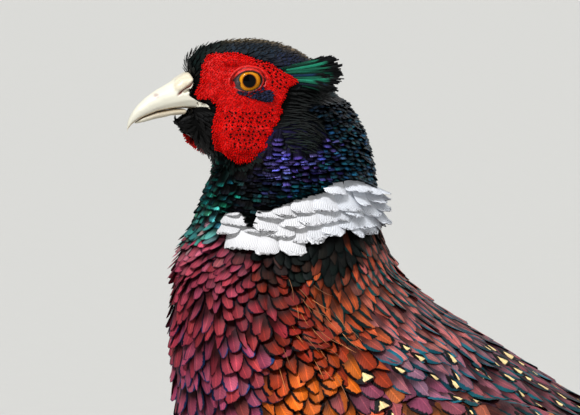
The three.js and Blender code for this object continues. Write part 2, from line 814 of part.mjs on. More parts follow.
// A toe lies on the floor from the origin along +X: its section is flat below, and its scales ring it
function toe(length, radius, steps, rise) {
  const rings = [];
  for (let i = 0; i <= steps; i++) {
    const s = i / steps;
    const r = radius * (1 - 0.34 * s) * (i % 2 ? 1.05 : 0.95);
    const x = length * s;
    const z = rise * (1 - s);
    rings.push([
      v3(x, -0.7 * r, z),
      v3(x, -r, z + 0.6 * r),
      v3(x, -0.7 * r, z + 1.4 * r),
      v3(x, 0, z + 1.75 * r),
      v3(x, 0.7 * r, z + 1.4 * r),
      v3(x, r, z + 0.6 * r),
      v3(x, 0.7 * r, z),
    ]);
  }
  return loft(rings);
}

// Length and radius, degrees outward from straight ahead, claw length, and scale rings
const TOES = {
  inner: { length: 34, radius: 3.9, turn: -32, claw: 9.5, rings: 6, rise: 0 },
  middle: { length: 48, radius: 4.1, turn: 2, claw: 11, rings: 8, rise: 0 },
  outer: { length: 37, radius: 3.8, turn: 33, claw: 9.5, rings: 6, rise: 0 },
  hind: { length: 14, radius: 3.1, turn: 168, claw: 7.5, rings: 3, rise: 3 },
};

// Turns a toe from +X to its own direction on the left or right foot.
function aimed(solid, turn, side) {
  return solid.rotate([0, 0, 180 - side * turn]);
}

function foot(side) {
  const toes = Object.values(TOES).map(({ length, radius, turn, rings, rise }) =>
    aimed(toe(length, radius, rings, rise), turn, side),
  );
  const palm = limb(
    [
      [0, 0, 0, 5, 5],
      [0, 0, 3, 7, 7],
      [0.8, 0, 8.5, 6.6, 6.4],
      [1.4, 0, 13 - CUT, 5.3, 5.3],
    ],
    10,
  );
  return largest(union([palm, ...toes]));
}

// A claw curves down from the toe's end to rest its point on the floor.
function claw({ length, radius, turn, claw: reach }, side) {
  const r = radius * 0.62;
  const rings = [
    [0, 1.02 * r, 0.62 * r],
    [0.35, 1.12 * r, 0.5 * r],
    [0.7, 0.8 * r, 0.34 * r],
    [1, 0.3, 0.16],
  ].map(([s, lift, half]) =>
    Array.from({ length: 6 }, (_, j) => {
      const angle = (2 * Math.PI * j) / 6;
      const z = Math.max(0.05, lift + half * Math.cos(angle));
      return v3(length + CUT + reach * s, half * 0.9 * Math.sin(angle), z);
    }),
  );
  return aimed(loft(rings), turn, side);
}

// The spur: a cone on the back of the shank, towards the other leg
const SPUR = { height: 27, length: 14, radius: 3.1 };

function spur(side) {
  const [x, length, width] = shankAt(SPUR.height);
  const base = v3(x + length * 0.5, -side * width * 0.5, SPUR.height);
  const aim = new THREE.Quaternion().setFromUnitVectors(v3(0, 1, 0), v3(0.82, -side * 0.5, 0.14).normalize());
  const geometry = new THREE.ConeGeometry(SPUR.radius, SPUR.length, 8, 1);
  geometry.translate(0, SPUR.length / 2, 0);
  geometry.applyQuaternion(aim);
  geometry.translate(base.x, base.y, base.z);
  return largest(solidOf(geometry).subtract(shankTube(CUT)));
}

// The scene graph

const pheasant = new THREE.Group();

function place(parent, name, solid, material) {
  const mesh = new THREE.Mesh(geometryOf(solid), material);
  mesh.name = name;
  parent.add(mesh);
}

const sockets = turned(eyeBall(-1, CUT).add(eyeBall(1, CUT)));
const headPart = above(whole, THROAT_CUT).subtract(turned(billSpace(0))).subtract(sockets);
place(pheasant, "head", largest(headPart), darkGreen);
place(pheasant, "bill_upper", upperBill(), ivory);
place(pheasant, "bill_lower", lowerBill(), ivory);
place(pheasant, "neck", largest(above(below(body, THROAT_CUT), COLLAR_CUT)), violetBlue);
place(pheasant, "neck_ring", neckRing(), white);
place(pheasant, "torso", largest(below(body, COLLAR_CUT)), maroon);
place(pheasant, "tail", tail(), tailBuff);

for (const side of [-1, 1]) {
  const hand = side < 0 ? "left" : "right";
  place(pheasant, `eye_${hand}`, turned(eyeBall(side, 0)), amber);
  place(pheasant, `face_${hand}`, face(side), faceRed);
  place(pheasant, `ear_tuft_${hand}`, earTuft(side), darkGreen);
  place(pheasant, `wing_${hand}`, wing(side), wingBrown);
  place(pheasant, `thigh_${hand}`, thigh(side), legBrown);

  const leg = new THREE.Group();
  leg.position.set(footX(side), side * FOOT_Y, 0);
  pheasant.add(leg);
  place(leg, `shank_${hand}`, shank(), legGrey);
  place(leg, `spur_${hand}`, spur(side), clawHorn);
  place(leg, `foot_${hand}`, foot(side), legGrey);
  for (const [name, toeSizes] of Object.entries(TOES)) {
    place(leg, `claw_${name}_${hand}`, claw(toeSizes, side), clawHorn);
  }
}

// The origin is the middle of the bounding box, at floor level.
const box = new THREE.Box3().setFromObject(pheasant);
pheasant.position.set(-(box.min.x + box.max.x) / 2, -(box.min.y + box.max.y) / 2, -box.min.z);

export default pheasant;
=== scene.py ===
import math

import bpy
import numpy as np
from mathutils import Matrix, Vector
from mathutils.bvhtree import BVHTree


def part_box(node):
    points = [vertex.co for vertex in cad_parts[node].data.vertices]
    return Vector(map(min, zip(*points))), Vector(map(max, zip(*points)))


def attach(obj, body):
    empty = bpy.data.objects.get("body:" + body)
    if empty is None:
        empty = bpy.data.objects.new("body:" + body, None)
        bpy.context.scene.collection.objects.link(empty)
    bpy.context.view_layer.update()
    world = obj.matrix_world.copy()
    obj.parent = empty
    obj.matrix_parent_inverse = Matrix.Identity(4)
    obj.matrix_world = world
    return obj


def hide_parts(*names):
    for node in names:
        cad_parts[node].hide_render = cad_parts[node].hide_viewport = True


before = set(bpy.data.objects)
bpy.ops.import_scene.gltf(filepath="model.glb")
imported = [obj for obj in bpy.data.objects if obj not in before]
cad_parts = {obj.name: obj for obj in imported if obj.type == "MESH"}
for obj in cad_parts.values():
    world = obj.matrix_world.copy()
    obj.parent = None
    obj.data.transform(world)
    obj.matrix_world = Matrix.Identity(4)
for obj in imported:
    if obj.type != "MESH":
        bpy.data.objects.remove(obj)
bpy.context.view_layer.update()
rng = np.random.default_rng(11)

# Shapes are worked out in millimetres, with X = 0 close to the eyes and the floor at Z = 0, and put in the
# frame's metres. The bird faces -X and its left side is -Y.
leftEye = [-0.170, -15.136, 414.0]  # middle of its box in these millimetres
eyeLow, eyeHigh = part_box("eye_left")
shift = np.array((eyeLow + eyeHigh) / 2) - np.array(leftEye) / 1000
eyeLevel = 414
ringSpan = (0.12, 0.42)  # share of the body's plan in which the white ring lies
ringEnd = 133  # degrees from the nape to each end of the white ring, which is open in front
hands = ((-1, "left"), (1, "right"))


def toMetres(points):
    return np.asarray(points, float) / 1000 + shift


def toMillimetres(points):
    return (np.asarray(points, float) - shift) * 1000


def unit(vectors):
    return vectors / np.maximum(np.linalg.norm(vectors, axis=-1, keepdims=True), 1e-9)


def smooth(low, high, value):
    t = np.clip((np.asarray(value, float) - low) / (high - low), 0, 1)
    return t * t * (3 - 2 * t)


def paint(red, green, blue):  # a colour as a screen shows it, made linear
    c = np.array([red, green, blue]) / 255
    return np.where(c < 0.04045, c / 12.92, ((c + 0.055) / 1.055) ** 2.4)


# Camera, light and floor
photo = {"distance": 4000, "elevation": 2, "aimX": 15.5, "aimZ": 366.8, "width": 214.6, "sensor": 36}
studio = {"world": 0.13, "floor": (0.56, 0.56, 0.54), "floorSize": 160}
lamps = {  # soft lights from far off: the side each shines from, its strength, how wide it is in degrees
    "key": {"side": (-0.8, -1.15, 1.4), "strength": 3.25, "width": 15},
    "top": {"side": (0.35, -0.15, 1.0), "strength": 0.85, "width": 50},
    "back": {"side": (0.9, 1.2, 1.3), "strength": 0.7, "width": 60},
    "fill": {"side": (1.0, -1.0, 0.45), "strength": 0.5, "width": 70},
}


def setStage():
    scene = bpy.context.scene
    scene.view_settings.view_transform = "Standard"
    world = bpy.data.worlds.new("studioLight")
    scene.world = world
    world.use_nodes = True
    sky = world.node_tree.nodes["Background"]
    sky.inputs["Color"].default_value = (1, 1, 1, 1)
    sky.inputs["Strength"].default_value = studio["world"]
    rise = math.radians(photo["elevation"])
    aim = Vector(toMetres([photo["aimX"], 0, photo["aimZ"]]))
    back = Vector((0, -math.cos(rise), math.sin(rise))) * photo["distance"] / 1000
    bpy.ops.object.camera_add(location=aim + back)
    camera = bpy.context.object
    camera.rotation_euler = (-back).to_track_quat("-Z", "Y").to_euler()
    camera.data.sensor_width = photo["sensor"]
    camera.data.lens = photo["sensor"] * photo["distance"] / photo["width"]
    camera.data.clip_end = 200
    scene.camera = camera
    for name, lamp in lamps.items():
        side = Vector(lamp["side"]).normalized()
        bpy.ops.object.light_add(type="SUN", location=aim + side * 4)
        light = bpy.context.object
        light.name = name + "Light"
        light.rotation_euler = side.to_track_quat("Z", "Y").to_euler()
        light.data.energy = lamp["strength"]
        light.data.angle = math.radians(lamp["width"])
    selectOnly()
    bpy.ops.mesh.primitive_plane_add(size=studio["floorSize"], location=(0, 0, 0))
    floor = bpy.context.object
    floor.name = "floor"
    tree, shader = newMaterial("paleFloor", floor, 0.85)
    grain = noise(tree, texturePlace(tree, "Object"), 40, 4)
    colour = mix(tree, grain, [c * 0.96 for c in studio["floor"]], studio["floor"])
    wire(tree, colour, shader.inputs["Base Color"])


# Small helpers for materials
def newMaterial(name, piece, roughness, metallic=0.0, specular=None):
    material = bpy.data.materials.new(name)
    material.use_nodes = True
    tree = material.node_tree
    shader = tree.nodes["Principled BSDF"]
    shader.inputs["Roughness"].default_value = roughness
    shader.inputs["Metallic"].default_value = metallic
    if specular is not None:
        shader.inputs["Specular IOR Level"].default_value = specular
    piece.data.materials.clear()
    piece.data.materials.append(material)
    return tree, shader


def wire(tree, value, socket):
    if isinstance(value, bpy.types.NodeSocket):
        tree.links.new(value, socket)
    elif socket.type == "RGBA":
        socket.default_value = (*[float(c) for c in value[:3]], 1)
    else:
        socket.default_value = value


def calc(tree, operation, *values):
    node = tree.nodes.new("ShaderNodeMath")
    node.operation = operation
    for value, socket in zip(values, node.inputs):
        wire(tree, value, socket)
    return node.outputs[0]


def plus(tree, first, second):
    return calc(tree, "ADD", first, second)


def minus(tree, first, second):
    return calc(tree, "SUBTRACT", first, second)


def times(tree, first, second):
    return calc(tree, "MULTIPLY", first, second)


def timesPlus(tree, value, factor, more):
    return calc(tree, "MULTIPLY_ADD", value, factor, more)


def mix(tree, factor, first, second, kind="MIX"):
    node = tree.nodes.new("ShaderNodeMix")
    node.data_type = "RGBA"
    node.blend_type = kind
    for value, socket in ((factor, node.inputs[0]), (first, node.inputs[6]), (second, node.inputs[7])):
        wire(tree, value, socket)
    return node.outputs[2]


def tint(tree, colour, factor):
    return mix(tree, 1.0, colour, factor, "MULTIPLY")


def step(tree, value, low, high):  # 0 below low, 1 above high, smooth between
    node = tree.nodes.new("ShaderNodeMapRange")
    node.interpolation_type = "SMOOTHSTEP"
    for given, name in ((value, "Value"), (low, "From Min"), (high, "From Max")):
        wire(tree, given, node.inputs[name])
    return node.outputs["Result"]


def noise(tree, place, scale, detail=3, roughness=0.55, stretch=None):
    if stretch:
        mapping = tree.nodes.new("ShaderNodeMapping")
        mapping.inputs["Scale"].default_value = stretch
        wire(tree, place, mapping.inputs["Vector"])
        place = mapping.outputs["Vector"]
    node = tree.nodes.new("ShaderNodeTexNoise")
    node.inputs["Scale"].default_value = scale
    node.inputs["Detail"].default_value = detail
    node.inputs["Roughness"].default_value = roughness
    wire(tree, place, node.inputs["Vector"])
    return node.outputs["Fac"]


def texturePlace(tree, name):
    return tree.nodes.new("ShaderNodeTexCoord").outputs[name]


def attribute(tree, name, output="Color"):
    node = tree.nodes.new("ShaderNodeAttribute")
    node.attribute_name = name
    return node.outputs[output]


def ramp(tree, value, stops):
    node = tree.nodes.new("ShaderNodeValToRGB")
    bar = node.color_ramp
    while len(bar.elements) < len(stops):
        bar.elements.new(0.5)
    for element, (place, colour) in zip(bar.elements, stops):
        element.position = place
        element.color = (*[float(c) for c in colour], 1)
    wire(tree, value, node.inputs["Fac"])
    return node.outputs["Color"]


def bump(tree, shader, height, strength=0.4, depth=0.0002):
    node = tree.nodes.new("ShaderNodeBump")
    node.inputs["Strength"].default_value = strength
    node.inputs["Distance"].default_value = depth
    wire(tree, height, node.inputs["Height"])
    wire(tree, node.outputs["Normal"], shader.inputs["Normal"])

def vanePlace(tree):  # from the shaft out to either edge, from root to tip, and from edge to edge
    uv = tree.nodes.new("ShaderNodeUVMap")
    uv.uv_map = "vane"
    split = tree.nodes.new("ShaderNodeSeparateXYZ")
    wire(tree, uv.outputs[0], split.inputs[0])
    out = times(tree, calc(tree, "ABSOLUTE", minus(tree, split.outputs["X"], 0.5)), 2.0)
    return out, split.outputs["Y"], split.outputs["X"]


def grainyTone(name, piece, roughness, specular, grain, share,
               relief):  # the piece's own colour under a noise
    tree, shader = newMaterial(name, piece, roughness, 0.0, specular)
    value = noise(tree, texturePlace(tree, "Object"), *grain)
    colour = tint(tree, attribute(tree, "tone"), timesPlus(tree, value, *share))
    wire(tree, colour, shader.inputs["Base Color"])
    bump(tree, shader, value, *relief)


# Small helpers for meshes
def selectOnly(*pieces):  # the last of them is the active one
    bpy.ops.object.select_all(action="DESELECT")
    for piece in pieces:
        piece.select_set(True)
        bpy.context.view_layer.objects.active = piece


def wholeMesh(piece, operator, **settings):
    selectOnly(piece)
    bpy.ops.object.mode_set(mode="EDIT")
    bpy.ops.mesh.select_all(action="SELECT")
    operator(**settings)
    bpy.ops.object.mode_set(mode="OBJECT")


def facesOut(piece):
    wholeMesh(piece, bpy.ops.mesh.normals_make_consistent, inside=False)


def shadeSmooth(piece):
    piece.data.polygons.foreach_set("use_smooth", np.ones(len(piece.data.polygons), bool))


def paintPoints(piece, label, colour):
    layer = piece.data.color_attributes.new(label, "FLOAT_COLOR", "POINT")
    full = np.ones((len(colour), 4), np.float32)
    full[:, :3] = colour
    layer.data.foreach_set("color", full.ravel())


def valuePoints(piece, label, value):
    layer = piece.data.attributes.new(label, "FLOAT", "POINT")
    layer.data.foreach_set("value", np.asarray(value, np.float32))


def makePiece(name, points, faces, loopMaps=(), pointColours=(), pointValues=()):
    mesh = bpy.data.meshes.new(name)
    mesh.from_pydata(toMetres(points).tolist(), [], faces)
    piece = bpy.data.objects.new(name, mesh)
    bpy.context.collection.objects.link(piece)
    corner = np.zeros(len(mesh.loops), np.int32)
    mesh.loops.foreach_get("vertex_index", corner)
    for label, uv in loopMaps:
        layer = mesh.uv_layers.new(name=label)
        layer.data.foreach_set("uv", np.asarray(uv, np.float32)[corner].ravel())
    for label, colour in pointColours:
        paintPoints(piece, label, colour)
    for label, value in pointValues:
        valuePoints(piece, label, value)
    shadeSmooth(piece)
    return piece


def putDown(piece, replaced):
    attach(piece, "root")
    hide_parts(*replaced)


def joinedCopy(name, nodes):
    copies = [bpy.data.objects.new(name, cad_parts[node].data.copy()) for node in nodes]
    for copy in copies:
        bpy.context.collection.objects.link(copy)
    selectOnly(*copies)
    if len(nodes) > 1:
        bpy.ops.object.join()
    joined = bpy.context.object
    joined.name = name
    joined.data.materials.clear()
    wholeMesh(joined, bpy.ops.mesh.remove_doubles, threshold=0.00001)
    return joined


def withModifier(piece, kind, **settings):
    selectOnly(piece)
    bpy.ops.object.modifier_add(type=kind)
    modifier = piece.modifiers[-1]
    for key, value in settings.items():
        setattr(modifier, key, value)
    bpy.ops.object.modifier_apply(modifier=modifier.name)


def remade(name, nodes, voxel, factor, iterations):  # CAD parts as one evenly meshed piece
    piece = joinedCopy(name, nodes)
    withModifier(piece, "REMESH", mode="VOXEL", voxel_size=voxel / 1000)
    withModifier(piece, "SMOOTH", factor=factor, iterations=iterations)
    return piece


def pointsOf(piece):
    points = np.zeros(len(piece.data.vertices) * 3)
    piece.data.vertices.foreach_get("co", points)
    return toMillimetres(points.reshape(-1, 3))


def normalsOf(piece):
    normals = np.zeros(len(piece.data.vertices) * 3)
    piece.data.vertices.foreach_get("normal", normals)
    return normals.reshape(-1, 3)


def setPoints(piece, points):
    piece.data.vertices.foreach_set("co", toMetres(points).ravel())
    piece.data.update()


def surfaceOf(*pieces):  # a surface to drape on, in millimetres, with a soft normal for each face
    points, normals, faces = np.zeros((0, 3)), np.zeros((0, 3)), []
    for piece in pieces:
        faces += [tuple(i + len(points) for i in face.vertices) for face in piece.data.polygons]
        points, normals = np.vstack([points, pointsOf(piece)]), np.vstack([normals, normalsOf(piece)])
    soft = np.array([normals[list(face)].mean(0) for face in faces])
    return BVHTree.FromPolygons(points.tolist(), faces), unit(soft)


def drape(surface, points):
    tree, soft = surface
    found = [tree.find_nearest(point) for point in points.reshape(-1, 3).tolist()]
    spots = np.array([hit[0] for hit in found]).reshape(points.shape)
    normals = soft[[hit[2] for hit in found]].reshape(points.shape)
    return spots, normals


# The body's plan: sections from inside the head to the root of the tail
# back X, back Z, breast X, breast Z, half width
bodyPlan = np.array([
    [25, 413, -1, 408, 15.5], [36, 406, -6.5, 399, 20.5], [42.5, 395, -12, 388, 24],
    [47, 382, -15, 378, 27], [49, 369, -18.5, 369, 30], [51.5, 356, -22.5, 358, 33],
    [58.5, 343, -27.5, 345, 38], [76, 330, -30, 326, 46], [100, 315, -29, 301, 54],
    [125, 298, -23, 268, 60], [150, 284, -9, 234, 64], [175, 272, 16, 198, 66],
    [197, 263, 50, 170, 65], [216, 256, 93, 153, 60], [232, 250, 138, 151, 52],
    [245, 245, 180, 166, 41], [256, 241, 214, 188, 29], [269, 236.5, 241, 204, 18.5],
    [286, 231, 266, 212, 11],
])
wingPlan = np.vstack([bodyPlan[:14], [
    [236, 258, 138, 151, 55], [256, 258, 178, 158, 47], [277, 258, 214, 166, 39],
    [300, 258, 246, 174, 32], [325, 258, 275, 180, 27],
]])


def section(plan, t):
    t = np.clip(np.asarray(t, float), 0, 1) * (len(plan) - 1)
    i = np.minimum(t.astype(int), len(plan) - 2)
    f = (t - i)[..., None]
    ends = np.vstack([2 * plan[0] - plan[1], plan, 2 * plan[-1] - plan[-2]])
    a, b, c, d = ends[i], ends[i + 1], ends[i + 2], ends[i + 3]
    return 0.5 * (2 * b + (c - a) * f + (2 * a - 5 * b + 4 * c - d) * f**2 + (3 * b - a - 3 * c + d) * f**3)


def bodyPoint(t, angle, plan=bodyPlan):  # angle 0 is the back, 90 the left side, 180 the breast
    row = section(plan, t)
    turn = np.radians(angle)
    x = (row[..., 0] + row[..., 2]) / 2 + (row[..., 0] - row[..., 2]) / 2 * np.cos(turn)
    z = (row[..., 1] + row[..., 3]) / 2 + (row[..., 1] - row[..., 3]) / 2 * np.cos(turn)
    return np.stack([x, -row[..., 4] * np.sin(turn), z], -1)


def planSurface(plan, rows=110, sides=96):
    t, angle = np.meshgrid(np.linspace(0, 1, rows), np.arange(sides) * 360 / sides, indexing="ij")
    points = bodyPoint(t, angle, plan).reshape(-1, 3)
    faces = []
    for r in range(rows - 1):
        for s in range(sides):
            n = (s + 1) % sides
            faces.append((r * sides + s, (r + 1) * sides + s, (r + 1) * sides + n, r * sides + n))
    return points, faces


# Skin: one closed surface over head, neck, body and thighs, inside the feathers
skinLook = {"nodes": ["head", "neck", "torso", "thigh_left", "thigh_right"], "voxel": 2.0, "lastVoxel": 1.7,
            "headDepth": 0.9, "neckDepth": 2.2, "bodyDepth": 3.4, "neckFrom": (392, 372),
            "bodyFrom": (352, 325)}
wingPad = {
    "outline": [[22, 262], [34, 282], [62, 298], [96, 297], [128, 287], [156, 272], [170, 250],
                [170, 222], [158, 200], [132, 187], [102, 184], [66, 196], [38, 222], [24, 242]],
    "middle": [88, 240],
}


def insideOutline(outline, x, z):
    inside = np.zeros(np.shape(x), bool)
    for (x1, z1), (x2, z2) in zip(outline, outline[1:] + outline[:1]):
        crosses = (z1 > z) != (z2 > z)
        inside ^= crosses & (x < (x2 - x1) * (z - z1) / (z2 - z1 + 1e-9) + x1)
    return inside


def outlineReach(outline, x, z):  # distance to the outline, negative outside it
    best = np.full(np.shape(x), 1e9)
    for (x1, z1), (x2, z2) in zip(outline, outline[1:] + outline[:1]):
        t = np.clip(((x - x1) * (x2 - x1) + (z - z1) * (z2 - z1)) / ((x2 - x1) ** 2 + (z2 - z1) ** 2), 0, 1)
        best = np.minimum(best, np.hypot(x - x1 - t * (x2 - x1), z - z1 - t * (z2 - z1)))
    return np.where(insideOutline(outline, x, z), best, -best)


def layPoint(x, z, height, side):  # out from the wing's bed, over (x, z) in side view
    tree = wingBed[0]
    x, z, height = np.broadcast_arrays(np.asarray(x, float), np.asarray(z, float), np.asarray(height, float))
    found = []
    for px, pz in zip(x.ravel(), z.ravel()):
        hit = tree.ray_cast((px, side * 300, pz), (0, -side, 0))[0]
        found.append(hit[1] if hit else side * 8.0)
    y = np.array(found).reshape(x.shape)
    return np.stack([x, y + side * height, z], -1)


def wingCore(side):  # the padded front of the folded wing, under its small feathers
    outline = np.array(wingPad["outline"], float)
    middle = np.array(wingPad["middle"], float)
    points, faces, sides = [], [], len(outline)
    shares = [(1, -3), (1, 0.2), (0.93, 1.6), (0.75, 3.0), (0.4, 4.0), (0.02, 4.2), (0.02, -3)]
    for share, height in shares:
        ring = middle + (outline - middle) * share
        points.append(layPoint(ring[:, 0], ring[:, 1], height, side))
    for r in range(len(shares) - 1):
        for s in range(sides):
            n = (s + 1) % sides
            faces.append((r * sides + s, r * sides + n, (r + 1) * sides + n, (r + 1) * sides + s))
    faces.append(tuple(range(sides - 1, -1, -1)))
    faces.append(tuple(range((len(shares) - 1) * sides, len(shares) * sides)))
    core = makePiece("wingCore", np.concatenate(points), faces)
    facesOut(core)
    return core


def makeSkin():
    skin = remade("skin", skinLook["nodes"], skinLook["voxel"], 0.6, 5)
    points, normals = pointsOf(skin), normalsOf(skin)
    z = points[:, 2]
    head, neck, body = skinLook["headDepth"], skinLook["neckDepth"], skinLook["bodyDepth"]
    depth = head + (neck - head) * smooth(*skinLook["neckFrom"], z)
    depth += (body - neck) * smooth(*skinLook["bodyFrom"], z)
    depth = np.where(z < 160, np.minimum(depth, 0.6 + 0.035 * np.maximum(z - 80, 0)), depth)
    setPoints(skin, points - normals * depth[:, None])
    selectOnly(wingCore(-1), wingCore(1), skin)
    bpy.ops.object.join()
    withModifier(skin, "REMESH", mode="VOXEL", voxel_size=skinLook["lastVoxel"] / 1000)
    withModifier(skin, "SMOOTH", factor=0.6, iterations=4)
    return skin


def colourSkin(skin):  # under the coat, with the coat's own markings, dimmed as painted shade for the gaps between the feathers
    points = pointsOf(skin)
    # painted shade: the coat's colours cut to 0.12 and the head's to 0.3, standing in for the shade between
    # feathers
    coat = coatColour(points)[0] * 0.12
    head = headColour(turnHead(points, back=True))[0] * 0.3
    onHead = (smooth(1, -1, throatPlane(points)) * (points[:, 2] > 378))[:, None]
    legs = smooth(150, 120, points[:, 2])[:, None]
    tone = coat * (1 - onHead) + head * onHead
    tone = tone * (1 - legs) + paint(40, 28, 22) * legs
    paintPoints(skin, "tone", tone)
    grainyTone("downySkin", skin, 0.85, 0.1, (400, 4), (1.0, 0.5), (0.5, 0.0005))
    putDown(skin, skinLook["nodes"])


# Feathers: thin closed vanes, all made from one small pattern and draped on the skin
def vanePattern(rows, columns):
    across = np.linspace(-1, 1, columns)
    u, v, under, rowOf = [0.0], [0.0], [False], [0]
    for r, place in enumerate(rows):
        u += [*across, 0.0]
        v += [place] * (columns + 1)
        under += [False] * columns + [True]
        rowOf += [r + 1] * (columns + 1)
    u.append(0.0)
    v.append(1.0)
    under.append(False)
    rowOf.append(len(rows) + 1)
    width = columns + 1
    tip = 1 + width * len(rows)
    faces = []
    for r in range(-1, len(rows)):
        a, b = 1 + r * width, 1 + (r + 1) * width
        lowA, lowB = a + columns, b + columns
        if r < 0:
            faces += [(0, b + k + 1, b + k) for k in range(columns - 1)]
            faces += [(0, b, lowB), (0, lowB, b + columns - 1)]
        elif r == len(rows) - 1:
            faces += [(a + k, a + k + 1, tip) for k in range(columns - 1)]
            faces += [(tip, lowA, a), (tip, a + columns - 1, lowA)]
        else:
            faces += [(a + k, a + k + 1, b + k + 1, b + k) for k in range(columns - 1)]
            faces += [(b, lowB, lowA, a), (lowB, b + columns - 1, a + columns - 1, lowA)]
    u, v, under = np.array(u), np.array(v), np.array(under)
    rim = ~under & ((np.abs(u) > 0.999) | (v == 0) | (np.arange(len(u)) == tip))
    return {"u": u, "v": v, "under": under, "row": np.array(rowOf), "rim": rim, "faces": faces}


bakeSpot = 0.003  # size of a feather's own spot on the bake map


def featherPiece(name, pattern, shape, feathers, surface):
    # feathers holds one row for each: root, lie, width, length, low, high, camber, roll, curl, tone, edge,
    # rim, mark and place, and may hold sway, point, fray and bend
    count, size = len(feathers["root"]), len(pattern["u"])
    u, v = pattern["u"], pattern["v"]
    half = np.array([0, *shape, 0])[pattern["row"]]  # half width in each row as a share of the feather's
    own = lambda key: feathers.get(key, np.zeros(count))[:, None]
    spot, up = drape(surface, feathers["root"])
    lie = unit(feathers["lie"])
    lie = unit(lie - up * (lie * up).sum(-1, keepdims=True))
    side = np.cross(lie, up)
    length = own("length")
    frayed = feathers.get("fray", 0) * rng.uniform(-1, 0.6, (count, size)) * smooth(0.85, 1, v)
    along = v * length * (1 + frayed)
    taper = 1 - own("point") * smooth(0.5, 1, v)
    across = u * half * taper * own("width") / 2 + own("sway") * length * v**2
    flat = spot[:, None] + lie[:, None] * along[..., None] + side[:, None] * across[..., None]
    ground, normal = drape(surface, flat)
    rise = own("low") + (own("high") - own("low")) * v ** feathers.get("bend", 1.15)
    rise = rise - own("camber") * (u * half) ** 2 * smooth(0, 0.5, v)
    rise = rise + own("roll") * (u * half * v) + own("curl") * v**4
    rise = rise - np.where(pattern["under"], feathers["thick"], 0)
    points = ground + normal * rise[..., None]
    jump = np.linalg.norm(flat - ground, axis=-1, keepdims=True)  # keeps a tip from leaping to another limb
    points = np.where(jump > 0.5 * length[..., None] + 6, flat, points)
    faces = [tuple(i + f * size for i in face) for f in range(count) for face in pattern["faces"]]
    vane = np.stack([np.tile((u + 1) / 2, count), np.tile(v, count)], -1)
    patch = np.stack([np.tile(u * half / 2, count), np.tile(v - 0.5, count)], -1) * bakeSpot
    bake = np.clip(np.repeat(feathers["place"], size, 0) + patch, 0, 1)
    spread = lambda *keys: [(key, np.repeat(feathers[key], size, 0)) for key in keys]
    piece = makePiece(name, points.reshape(-1, 3), faces, [("OFBake", bake), ("vane", vane)],
                      spread("tone", "edge"), spread("rim", "mark"))
    sharpRims(piece, np.tile(pattern["rim"], count))
    return piece


def sharpRims(piece, rim):
    mesh = piece.data
    ends = np.zeros(len(mesh.edges) * 2, np.int32)
    mesh.edges.foreach_get("vertices", ends)
    ends = ends.reshape(-1, 2)
    layer = mesh.attributes.get("sharp_edge") or mesh.attributes.new("sharp_edge", "BOOLEAN", "EDGE")
    layer.data.foreach_set("value", rim[ends[:, 0]] & rim[ends[:, 1]])


vaneBase = {"metallic": 0, "specular": None, "ragged": 0.35, "rimRoot": 1.0, "soft": 0.1, "tip": 0.93,
            "tipSoft": 0.05, "shaftWidth": 0.09, "shaftShow": 0.6, "rootFrom": 0.4, "rootTo": 0.85,
            "barbs": 90, "slant": 22, "streak": 0.1, "cloud": 0.5, "relief": 0.25}
markShape = {"least": 0.2, "haloAt": 0.84, "haloSlope": 2.7, "haloSoft": 0.86, "spearAt": 0.93,
             "spearSlope": 2.5, "spearFrom": 0.68, "spearTo": 0.56, "tipFrom": 0.935, "tipTo": 0.915}


def creamMark(tree, look, colour, out, along, ragged):  # a pale spear in a dark halo near the tip
    shape = markShape
    on = attribute(tree, "mark", "Fac")
    size = calc(tree, "MAXIMUM", on, shape["least"])
    shown = step(tree, on, 0.1, 0.3)
    shaken = plus(tree, out, times(tree, ragged, 0.9))
    away = calc(tree, "ABSOLUTE", minus(tree, along, shape["haloAt"]))
    wedge = plus(tree, shaken, times(tree, away, shape["haloSlope"]))
    halo = times(tree, shown, step(tree, wedge, size, times(tree, size, shape["haloSoft"])))
    spear = plus(tree, shaken, times(tree, minus(tree, shape["spearAt"], along), shape["spearSlope"]))
    centre = step(tree, spear, times(tree, size, shape["spearFrom"]), times(tree, size, shape["spearTo"]))
    centre = times(tree, centre, step(tree, along, shape["tipFrom"], shape["tipTo"]))
    colour = mix(tree, halo, colour, look["halo"])
    return mix(tree, times(tree, shown, centre), colour, look["centre"])


